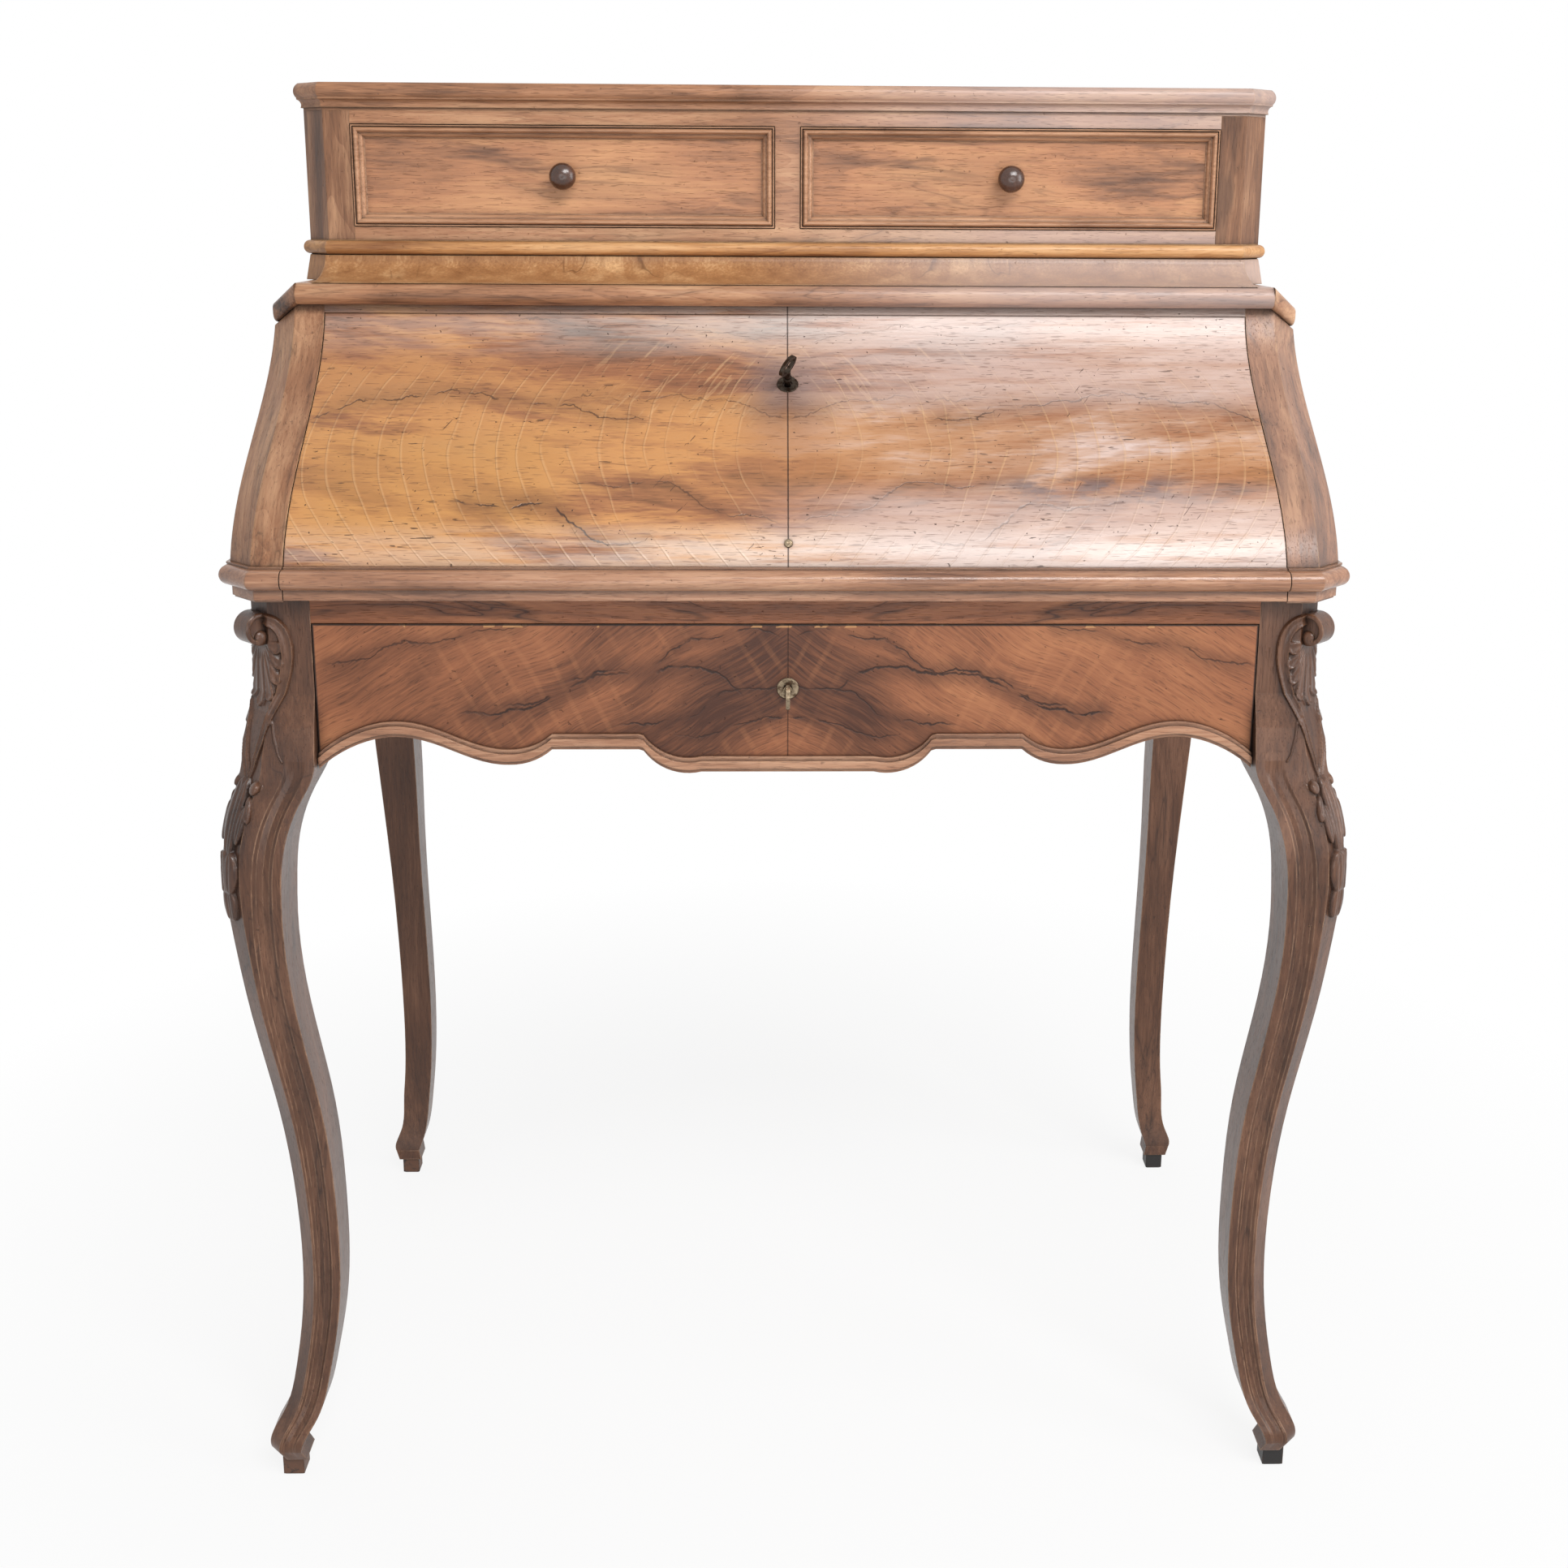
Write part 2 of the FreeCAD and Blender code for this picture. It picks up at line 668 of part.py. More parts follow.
fillet_profile = ((-side_board, torus_head), (fillet, torus_head), (fillet, fillet_height),
                  (-side_board, fillet_height))
pin_hole = cylinder(pin_radius, V(flap_half - pin_length / 2, pivot_y, pivot_z),
                    V(flap_half + pin_length / 2, pivot_y, pivot_z))
right_moulding = mitred(torus_path, torus_profile)
right_moulding[0] = right_moulding[0].cut(pin_hole)
right_moulding = right_moulding + mitred(case_path, fillet_profile)
save("right_base_moulding", *right_moulding)
save("left_base_moulding", *[flipped(m) for m in right_moulding])

bottom_half = torus_half - moulding_back
bed_low = bed_top - bed_board
half_turn_share = math.tan(math.radians(22.5))
bottom_corner = torus_corner - moulding_back * half_turn_share
bottom_side_y = bottom_y + bottom_half - bottom_corner
save("case_bottom", floor_slab([(-bottom_half, back), (-bottom_half, bottom_side_y), (-bottom_corner, bottom_y),
                                (bottom_corner, bottom_y), (bottom_half, bottom_side_y), (bottom_half, back)],
                               stand_top, bed_low))

bed_edge = pivot_y + inner_face * math.tan(math.radians(open_angle / 2)) + heel_gap
back_face = back - back_board
save("writing_bed", side_slab([(bed_edge, bed_top), (bed_edge - bed_board, bed_low), (back_face, bed_low),
                               (back_face, bed_top)], -flap_half, flap_half))

# The shoulder's fall, from the end of the straight nosing to the outer face of the case
fall = corner_drop / (body_half - nosing_half)
beyond = body_half + overrun


def fallen(x, height):
    return height - fall * (x - nosing_half)


shoulder_trim = front_slab([(nosing_half, head_height), (beyond, fallen(beyond, head_height)),
                            (beyond, top_height), (nosing_half, top_height)], foot_y - overrun, back + overrun)
stile_back = behind_slope(flap_half - overrun, V(body_half - flap_half + 2 * overrun, 0, 0), stile_depth,
                          back + 2 * cant)
stile_core = behind_slope(flap_half, V(cant_inner - flap_half, 0, 0), 0, back)
stile_cant = behind_slope(cant_inner, V(cant, cant, 0), 0, back)
right_stile = less(joined(stile_core, stile_cant), stile_back, shoulder_trim)
save("right_stile", right_stile)
save("left_stile", flipped(right_stile))

right_side = less(behind_slope(case_inner, V(side_board, 0, 0), stile_depth, back), shoulder_trim)
save("right_side", right_side)
save("left_side", flipped(right_side))
right_cheek = behind_slope(cheek, V(lining_board, 0, 0), stile_depth, back_face, bed_low)
save("cheeks", right_cheek, flipped(right_cheek))
fillet_low = stand_top + torus_head
back_panel = joined(box(-bottom_half, bottom_half, back_face, back, bed_low, fillet_low),
                    box(-case_inner, case_inner, back_face, back, fillet_low, head_height))
save("case_back", less(back_panel, shoulder_trim, flipped(shoulder_trim)))

nose = nosing / 2
nose_y = head_y - nosing_reach + nose
nose_z = head_height + nose


def along_flap(x, along, out):
    """A point by its distance up the flap from the pivot, and out from the slanting plane through the pivot."""
    run = V(0, 1, 1).normalize()
    rise = V(0, -1, 1).normalize()
    return V(x, pivot_y, pivot_z) + run * along + rise * out


def flap_bar(half_width, low_out, high_out, start, end):
    """A bar lying along the flap, across the desk by half_width each way."""
    corners = [along_flap(-half_width, start, low_out), along_flap(-half_width, end, low_out),
               along_flap(-half_width, end, high_out), along_flap(-half_width, start, high_out)]
    return slab(corners, V(2 * half_width, 0, 0))


case_top = joined(box(-nosing_half, nosing_half, nose_y, back, head_height, top_height),
                  cylinder(nose, V(-nosing_half, nose_y, nose_z), V(nosing_half, nose_y, nose_z)))
save("case_top", case_top)

# The head of the falling front is round about the pivot, so that it passes under the nosing
nose_reach = math.hypot(nose_y - pivot_y, nose_z - pivot_z) - nose
head_radius = nose_reach - running
rail_radius = nose_reach - air / 2
swing = cylinder(rail_radius, V(-body_half, pivot_y, pivot_z), V(body_half, pivot_y, pivot_z))
swing = swing.common(flap_bar(body_half, -inner_face - air, slope_depth * 2, 0, slope_depth * 3))
lock_out = lock_thick - inner_face
bolt_out = lock_out - lock_thick / 2
strike = flap_bar(bolt_width / 2 + air, bolt_out - bolt_thick / 2 - air, bolt_out + bolt_thick / 2 + air,
                  flap_key_along, head_radius + bolt_throw + running)
head_rail = behind_slope(-flap_half, V(2 * flap_half, 0, 0), 0, head_y + head_rail_depth)
head_rail = less(head_rail, swing, strike,
                 box(-body_half, body_half, foot_y - overrun, back, 0, head_height - head_rail_lip))
for side in (-1, 1):
    head_rail = head_rail.cut(box(side * lip_half, side * body_half, foot_y - overrun, back, 0,
                                  head_height - head_rail_lip / 2))
save("head_rail", max(head_rail.Solids, key=lambda piece: piece.Volume))


def shoulder():
    """The nosing's end: it falls along the canted corner, and runs back over the side."""
    plan = [(nosing_half, head_y - nosing_reach), (body_half, head_y - nosing_reach + body_half - nosing_half),
            (body_half, back), (nosing_half, back)]
    section = [(nosing_half, head_height), (body_half, fallen(body_half, head_height)),
               (body_half, fallen(body_half, top_height)), (nosing_half, top_height)]
    wedge = front_slab(section, head_y - nosing, back)
    wedge = wedge.common(floor_slab(plan, head_height - 2 * nosing, top_height + overrun))
    slant = [e for e in wedge.Edges if e.CenterOfMass.y < head_y + cant and e.Length > cant
             and abs(e.tangentAt(e.FirstParameter).x) > 0.1]
    wedge = wedge.makeFillet(nosing * 0.3, slant)
    rim = [e for e in wedge.Edges if e.CenterOfMass.x > body_half - running and e.Length > slope_depth
           and e.CenterOfMass.z > head_height - corner_drop / 2]
    return wedge.makeFillet(nosing * 0.15, rim)


right_shoulder = shoulder()
save("shoulders", right_shoulder, flipped(right_shoulder))

# Cove and astragal under the upper case
cove_foot = nose_y - nose / 3
cove_back = upper_y + side_board


def cove():
    """A hollow moulding along the front, stopped square before two canted blocks that run back as the sides."""
    toe = V(-cove_stop, cove_foot, top_height + running)
    lip = V(-cove_stop, upper_y - cove_lip, cove_top)
    hollow = Part.BezierCurve()
    hollow.setPoles([toe, toe + V(0, (lip.y - toe.y) / 2, 0), lip - V(0, 0, cove_height / 2), lip])
    corners = [lip, V(-cove_stop, cove_back, cove_top), V(-cove_stop, cove_back, top_height),
               V(-cove_stop, cove_foot, top_height), toe]
    edges = [hollow.toShape()] + [Part.LineSegment(a, b).toShape() for a, b in zip(corners, corners[1:])]
    moulding = Part.Face(Part.Wire(edges)).extrude(V(2 * cove_stop, 0, 0))

    def plan(height, flare):
        corner = upper_half + flare
        points = [V(cove_stop, upper_y - flare, height), V(corner, upper_y - flare + corner - cove_stop, height),
                  V(corner, back, height), V(cove_stop, back, height)]
        return Part.makePolygon(points + points[:1])

    block = Part.makeLoft([plan(top_height, cove_flare), plan(cove_top, 0)], True, True)
    rear = box(-cove_stop, cove_stop, back - side_board, back, top_height, cove_top)
    return moulding, block, flipped(block), rear


save("cove_frieze", *cove())

upper_path = [V(-upper_half, back, cove_top), V(-upper_half, upper_y + upper_cant, cove_top),
              V(-upper_inner, upper_y, cove_top), V(upper_inner, upper_y, cove_top),
              V(upper_half, upper_y + upper_cant, cove_top), V(upper_half, back, cove_top)]
half_bead = astragal_height / 2
astragal_profile = ((-side_board, 0), (0, 0), (0, running), ((astragal, half_bead), (0, astragal_height - running)),
                    (0, astragal_height), (-side_board, astragal_height))
save("astragal", *mitred(upper_path, astragal_profile))

# Upper case
post_back = upper_y + post
corner_post = floor_slab([(upper_stile, upper_y), (upper_inner, upper_y), (upper_half, upper_y + upper_cant),
                          (upper_half, post_back), (upper_stile, post_back)], deck, cornice_low)
upper_panel = box(upper_half - side_board, upper_half, post_back, back_face, deck, cornice_low)
save("upper_right_side", corner_post, upper_panel)
save("upper_left_side", flipped(corner_post), flipped(upper_panel))
save("upper_back", box(-upper_half, upper_half, back_face, back, deck, cornice_low))
rail_y = upper_y + frieze_board
drawer_low = deck + drawer_rail
drawer_high = cornice_low - drawer_rail
low_rail = box(-upper_stile, upper_stile, upper_y, rail_y, deck, drawer_low)
high_rail = box(-upper_stile, upper_stile, upper_y, rail_y, drawer_high, cornice_low)
middle = box(-centre_stile, centre_stile, upper_y, rail_y, drawer_low, drawer_high)
save("upper_rails", low_rail, high_rail, middle)
save("upper_divider", box(-centre_stile, centre_stile, rail_y, back_face, drawer_low, cornice_low))
upper_guide = box(upper_stile, upper_half - side_board, post_back, back_face, deck, drawer_low + drawer_board * 2)
floor_board = box(-upper_stile, upper_stile, rail_y, back_face, deck, drawer_low)
save("upper_floor", floor_board, upper_guide, flipped(upper_guide))


def cornice():
    """The top board, with its moulded edge on the front and sides."""
    step = cornice_height / 10
    inset = side_board
    profile = ((-inset, 0), (0, 0), (0, step), (cornice_reach * 0.3, step),
               ((cornice_reach * 0.3, step * 3), (cornice_reach * 0.7, step * 4)),
               (cornice_reach * 0.7, step * 4.6),
               ((cornice_reach, step * 7), (cornice_reach * 0.7, step * 9.4)),
               (cornice_reach * 0.5, step * 10), (-inset, step * 10))
    path = [V(p.x, p.y, cornice_low) for p in upper_path]
    edge = mitred(path, profile)
    half_turn = inset * half_turn_share
    field = floor_slab([(inset - upper_half, back), (inset - upper_half, upper_y + upper_cant + half_turn),
                        (half_turn - upper_inner, upper_y + inset), (upper_inner - half_turn, upper_y + inset),
                        (upper_half - inset, upper_y + upper_cant + half_turn), (upper_half - inset, back)],
                       cornice_low, cornice_low + cornice_height)
    return joined(field, *edge)


save("top_board", cornice())

# Upper drawers
panel_frame = panel_margin


def framed_front(x0, x1):
    """A drawer front with a sunk panel inside a moulded frame."""
    low = drawer_low + running
    high = drawer_high - running
    front_y = upper_y - panel_depth / 4
    board = box(x0, x1, front_y, upper_y + frieze_board, low, high)
    frame_top = [V(x0 + panel_frame, front_y + panel_depth, low + panel_frame),
                 V(x1 - panel_frame, front_y + panel_depth, low + panel_frame),
                 V(x1 - panel_frame, front_y + panel_depth, high - panel_frame),
                 V(x0 + panel_frame, front_y + panel_depth, high - panel_frame)]
    spread = panel_frame * 0.45
    outer = [V(p.x + spread * (1 if p.x > (x0 + x1) / 2 else -1), front_y - running,
               p.z + spread * (1 if p.z > (low + high) / 2 else -1)) for p in frame_top]
    sunk = Part.makeLoft([Part.makePolygon(frame_top + frame_top[:1]), Part.makePolygon(outer + outer[:1])], True, True)
    return board.cut(sunk), front_y + panel_depth


def knob(radius, length, x, y, z):
    """A turned knob: foot, neck and a domed head."""
    neck = radius * 0.42
    brim = length * 0.70
    ball = (radius ** 2 + (length - brim) ** 2) / (2 * (length - brim))
    half_turn = math.asin(radius / ball) / 2
    crown = V(ball * math.sin(half_turn), 0, length - ball + ball * math.cos(half_turn))
    points = [V(0, 0, 0), V(neck * 1.3, 0, 0), V(neck * 1.3, 0, length * 0.08), V(neck, 0, length * 0.16),
              V(neck, 0, length * 0.34), V(radius * 0.86, 0, length * 0.54), V(radius, 0, brim),
              (crown, V(0, 0, length))]
    shape = Part.Face(outline(points)).revolve(V(0, 0, 0), V(0, 0, 1), 360)
    shape.rotate(V(0, 0, 0), V(1, 0, 0), 90)
    shape.translate(V(x, y, z))
    return shape


upper_box_y1 = back_face - drawer_board
for name, side in (("left", -1), ("right", 1)):
    near = side * (centre_stile + running)
    far = side * (upper_stile - running)
    x0, x1 = min(near, far), max(near, far)
    drawer_front, panel_y = framed_front(x0, x1)
    save("upper_" + name + "_drawer_front", drawer_front)
    save("upper_" + name + "_drawer_box",
         *drawer_box(x0, x1, upper_y + frieze_board, upper_box_y1, drawer_low + air, drawer_high - drawer_board,
                     drawer_board, drawer_floor))
    save("upper_" + name + "_knob",
         knob(knob_radius, knob_length, (x0 + x1) / 2, panel_y, (drawer_low + drawer_high) / 2))

# Pigeonholes
nest_low = bed_top
nest_high = head_height
nest_back = back_face
nest_half = cheek
shelf_low = nest_low + small_board + nest_drawer_height
nest_inner = nest_half - small_board
bay = 2 * nest_inner / nest_bays
nest_boards = [
    box(-nest_half, nest_half, nest_front, nest_back, nest_low, nest_low + small_board),
    box(-nest_half, nest_half, nest_front, nest_back, nest_high - small_board, nest_high),
    box(-nest_half, -nest_inner, nest_front, nest_back, nest_low + small_board, nest_high - small_board),
    box(nest_inner, nest_half, nest_front, nest_back, nest_low + small_board, nest_high - small_board),
    box(-nest_inner, nest_inner, nest_front, nest_back, shelf_low, shelf_low + small_board),
]
for count in range(1, nest_bays):
    x = -nest_inner + bay * count
    nest_boards.append(box(x - small_board / 2, x + small_board / 2, nest_front, nest_back,
                           nest_low + small_board, shelf_low))
    nest_boards.append(box(x - small_board / 2, x + small_board / 2, nest_front + small_board, nest_back,
                           shelf_low + small_board, nest_high - small_board))
save("pigeonholes", *nest_boards)
for count in range(nest_bays):
    x0 = -nest_inner + bay * count + running + (small_board / 2 if count else 0)
    x1 = -nest_inner + bay * (count + 1) - running - (small_board / 2 if count < nest_bays - 1 else 0)
    z0 = nest_low + small_board + air
    z1 = shelf_low - running
    small_front = box(x0, x1, nest_front, nest_front + small_board, z0, z1)
    small_box = drawer_box(x0, x1, nest_front + small_board, nest_back - running, z0, z1 - small_board / 2,
                           small_board, small_board / 2)
    small_knob = knob(nest_knob, nest_knob * 2, (x0 + x1) / 2, nest_front, (z0 + z1) / 2)
    save("small_drawer_" + str(count + 1), small_front, small_knob, *small_box)

# Falling front
flap_side = flap_half - running
foot_along = (torus_reach + foot_rise) / math.sqrt(2)
foot_out = (foot_rise - torus_reach) / math.sqrt(2)
flap_foot = along_flap(0, foot_along, foot_out)
flap_heel = along_flap(0, foot_along, -inner_face)

probe = Part.LineSegment(along_flap(0, flap_key_along, -inner_face), along_flap(0, flap_key_along, slope_depth))
skin = slope_curve(0).distToShape(probe.toShape())[1][0][0]
flap_depth = (skin - along_flap(0, flap_key_along, -inner_face)).Length - lock_thick


def on_flap(shape):
    """A lock's piece, made upright at its keyhole, laid on the flap."""
    return seated(shape, along_flap(0, flap_key_along, lock_out), 45)


lock_room = flap_bar(lock_width / 2, -inner_face - overrun, lock_out, flap_key_along - lock_height / 2,
                     flap_key_along + lock_height / 2)
flap_eye = on_flap(cylinder(key_shank + air, V(0, overrun, 0), V(0, -slope_depth, 0)))
flap_seat = on_flap(cylinder(escutcheon, V(0, escutcheon_seat - flap_depth, 0), V(0, -slope_depth, 0)))
slant = behind_slope(-flap_side, V(2 * flap_side, 0, 0), 0, back)
slant = slant.common(cylinder(head_radius, V(-body_half, pivot_y, pivot_z), V(body_half, pivot_y, pivot_z)))
slant = slant.common(flap_bar(body_half, -inner_face, slope_depth, foot_along, slope_depth * 3))
save("flap_board", less(slant, lock_room, flap_eye, flap_seat, strike))


def from_pivot(y, z):
    return (pivot_y + y, pivot_z + z)


fillet_y = torus_reach - fillet
fascia_y = fascia_setback - torus
heel_z = fascia_foot - torus_height
flap_moulding = side_slab(
    [(flap_foot.y, flap_foot.z), from_pivot(fillet_y, foot_rise), from_pivot(fillet_y, torus), from_pivot(0, torus),
     (from_pivot(-torus, 0), from_pivot(0, -torus)), from_pivot(fascia_y, -torus), from_pivot(fascia_y, heel_z),
     from_pivot(heel_z + inner_face * math.sqrt(2), heel_z), (flap_heel.y, flap_heel.z)],
    -flap_side, flap_side)
turning_hole = cylinder(pin_radius + pin_play, V(flap_half - pin_length / 2 - running, pivot_y, pivot_z),
                        V(flap_half + running, pivot_y, pivot_z))
save("flap_moulding", less(flap_moulding, turning_hole, flipped(turning_hole)))

leather = flap_bar(flap_side - leather_side, -inner_face - leather_thick, -inner_face,
                   foot_along + leather_margin, head_radius - leather_margin)
lock_relief = flap_bar(lock_width / 2 + running, -inner_face * 2, 0, flap_key_along - lock_height / 2 - running,
                       head_radius)
save("flap_leather", leather.cut(lock_relief))

save("flap_lock", on_flap(lock_case()), on_flap(ring(flap_depth)))
bolt_top = math.sqrt(head_radius ** 2 - bolt_out ** 2) - running - flap_key_along
save("flap_bolt", on_flap(bolt(bolt_top)))
save("flap_key", on_flap(key(flap_depth, flap_key_turn)))

# Elbow stays: the two links, the pivots and the flap make a parallelogram with equal sides
stay_run = math.sqrt(stay_arm ** 2 - stay_rise ** 2)
fixed_pivot = V(0, pivot_y + stay_run, pivot_z + stay_rise)
lift_out = -inner_face - stay_lift
flap_pivot = along_flap(0, math.sqrt(stay_arm ** 2 - lift_out ** 2), lift_out)
elbow = fixed_pivot + flap_pivot - V(0, pivot_y, pivot_z)


def at(point, x):
    return V(x, point.y, point.z)


def link(a, b, x0, x1):
    """A flat bar with round ends."""
    across = (b - a).normalize().cross(V(1, 0, 0)) * (stay_width / 2)
    bar = slab([at(a + across, x0), at(b + across, x0), at(b - across, x0), at(a - across, x0)], V(x1 - x0, 0, 0))
    ends = [cylinder(stay_width / 2, at(p, x0), at(p, x1)) for p in (a, b)]
    return joined(bar, *ends)


case_link_inner = case_link_face - stay_thick
flap_link_face = case_link_inner - stay_gap
flap_link_inner = flap_link_face - stay_thick
lug_face = flap_link_inner - air
case_link = link(fixed_pivot, elbow, case_link_inner, case_link_face)
case_link = case_link.cut(cylinder(stay_pin + pin_play, at(fixed_pivot, lug_face), at(fixed_pivot, flap_half)))
elbow_pin = cylinder(stay_pin, at(elbow, flap_link_inner - running), at(elbow, case_link_face))
case_link = joined(case_link, elbow_pin)
save("case_links", case_link, flipped(case_link))
flap_link = link(flap_pivot, elbow, flap_link_inner, flap_link_face)
flap_link = less(flap_link, cylinder(stay_pin + air, at(elbow, lug_face), at(elbow, case_link_face)),
                 cylinder(stay_pin + pin_play, at(flap_pivot, lug_face), at(flap_pivot, case_link_face)))
save("flap_links", flap_link, flipped(flap_link))

stud_end = case_link_inner - air
stud = joined(cylinder(stay_pin, at(fixed_pivot, stud_end), at(fixed_pivot, cheek)),
              cylinder(stay_head, at(fixed_pivot, stud_end - stay_pin / 2), at(fixed_pivot, stud_end)),
              cylinder(stay_head, at(fixed_pivot, case_link_face + air), at(fixed_pivot, cheek)))
save("pivot_pins", stud, flipped(stud), pin_hole, flipped(pin_hole))
lug_along = (flap_pivot - V(0, pivot_y, pivot_z)).dot(V(0, 1, 1).normalize())
lug = slab([along_flap(lug_face, lug_along - lug_long / 2, -inner_face),
            along_flap(lug_face, lug_along + lug_long / 2, -inner_face),
            along_flap(lug_face, lug_along + stay_width / 2, lift_out - stay_width / 2),
            along_flap(lug_face, lug_along - stay_width / 2, lift_out - stay_width / 2)], V(-lug_thick, 0, 0))
lug = joined(lug, cylinder(stay_pin, at(flap_pivot, lug_face - lug_thick), at(flap_pivot, flap_link_face + air)))
save("stay_lugs", lug, flipped(lug))
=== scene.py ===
import math

import bpy
import numpy as np
from bpy.props import FloatProperty, FloatVectorProperty, PointerProperty
from mathutils import Matrix, Vector


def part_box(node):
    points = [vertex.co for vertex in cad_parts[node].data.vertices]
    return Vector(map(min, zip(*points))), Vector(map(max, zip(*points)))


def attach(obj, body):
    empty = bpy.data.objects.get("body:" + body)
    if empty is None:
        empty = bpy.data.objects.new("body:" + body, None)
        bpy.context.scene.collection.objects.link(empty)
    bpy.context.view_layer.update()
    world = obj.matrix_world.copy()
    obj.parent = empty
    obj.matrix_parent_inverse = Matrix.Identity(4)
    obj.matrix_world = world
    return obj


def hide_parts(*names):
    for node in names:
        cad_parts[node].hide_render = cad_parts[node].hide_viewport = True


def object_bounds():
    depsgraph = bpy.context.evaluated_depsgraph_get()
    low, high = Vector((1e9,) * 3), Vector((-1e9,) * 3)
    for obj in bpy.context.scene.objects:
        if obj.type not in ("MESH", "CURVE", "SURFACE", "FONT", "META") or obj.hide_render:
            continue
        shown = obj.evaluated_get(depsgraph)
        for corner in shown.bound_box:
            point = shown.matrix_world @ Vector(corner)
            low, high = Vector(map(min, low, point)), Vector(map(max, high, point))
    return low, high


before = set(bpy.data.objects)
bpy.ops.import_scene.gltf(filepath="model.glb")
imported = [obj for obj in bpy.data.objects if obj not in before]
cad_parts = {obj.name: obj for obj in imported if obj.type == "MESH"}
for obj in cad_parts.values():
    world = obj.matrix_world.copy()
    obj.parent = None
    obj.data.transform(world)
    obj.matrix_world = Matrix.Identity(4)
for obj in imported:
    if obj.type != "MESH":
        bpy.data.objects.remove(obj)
cad_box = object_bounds()

bl_info = {"name": "Slant-front desk", "version": (1, 0, 0), "blender": (4, 5, 0),
           "location": "View3D > Sidebar > Desk",
           "description": "Finishes, carving and mouldings of a walnut slant-front desk",
           "category": "Add Mesh"}

MM = 0.001

# How far the carving of a knee stands out as it is laid out, in millimetres
CARVING_PROUD = 7.2


def shade(red, green, blue):
    """A colour as it looks on a screen, from 0 to 255, in the linear numbers that a shader takes."""
    def linear(value):
        value = value / 255
        return value / 12.92 if value <= 0.04045 else ((value + 0.055) / 1.055) ** 2.4
    return linear(red), linear(green), linear(blue)


def scaled(colour, share):
    """A colour made darker, or lighter up to white."""
    return tuple(min(1.0, value * share) for value in colour)


def colour_setting(name, description, red, green, blue):
    return FloatVectorProperty(name=name, description=description, default=shade(red, green, blue), size=3,
                               min=0.0, max=1.0, subtype="COLOR")


def length_setting(name, description, millimetres):
    return FloatProperty(name=name, description=description, default=millimetres * MM, min=0.0,
                         unit="LENGTH")


def angle_setting(name, description, radians):
    return FloatProperty(name=name, description=description, default=radians, unit="ROTATION")


# Sizes and colours that a user would change


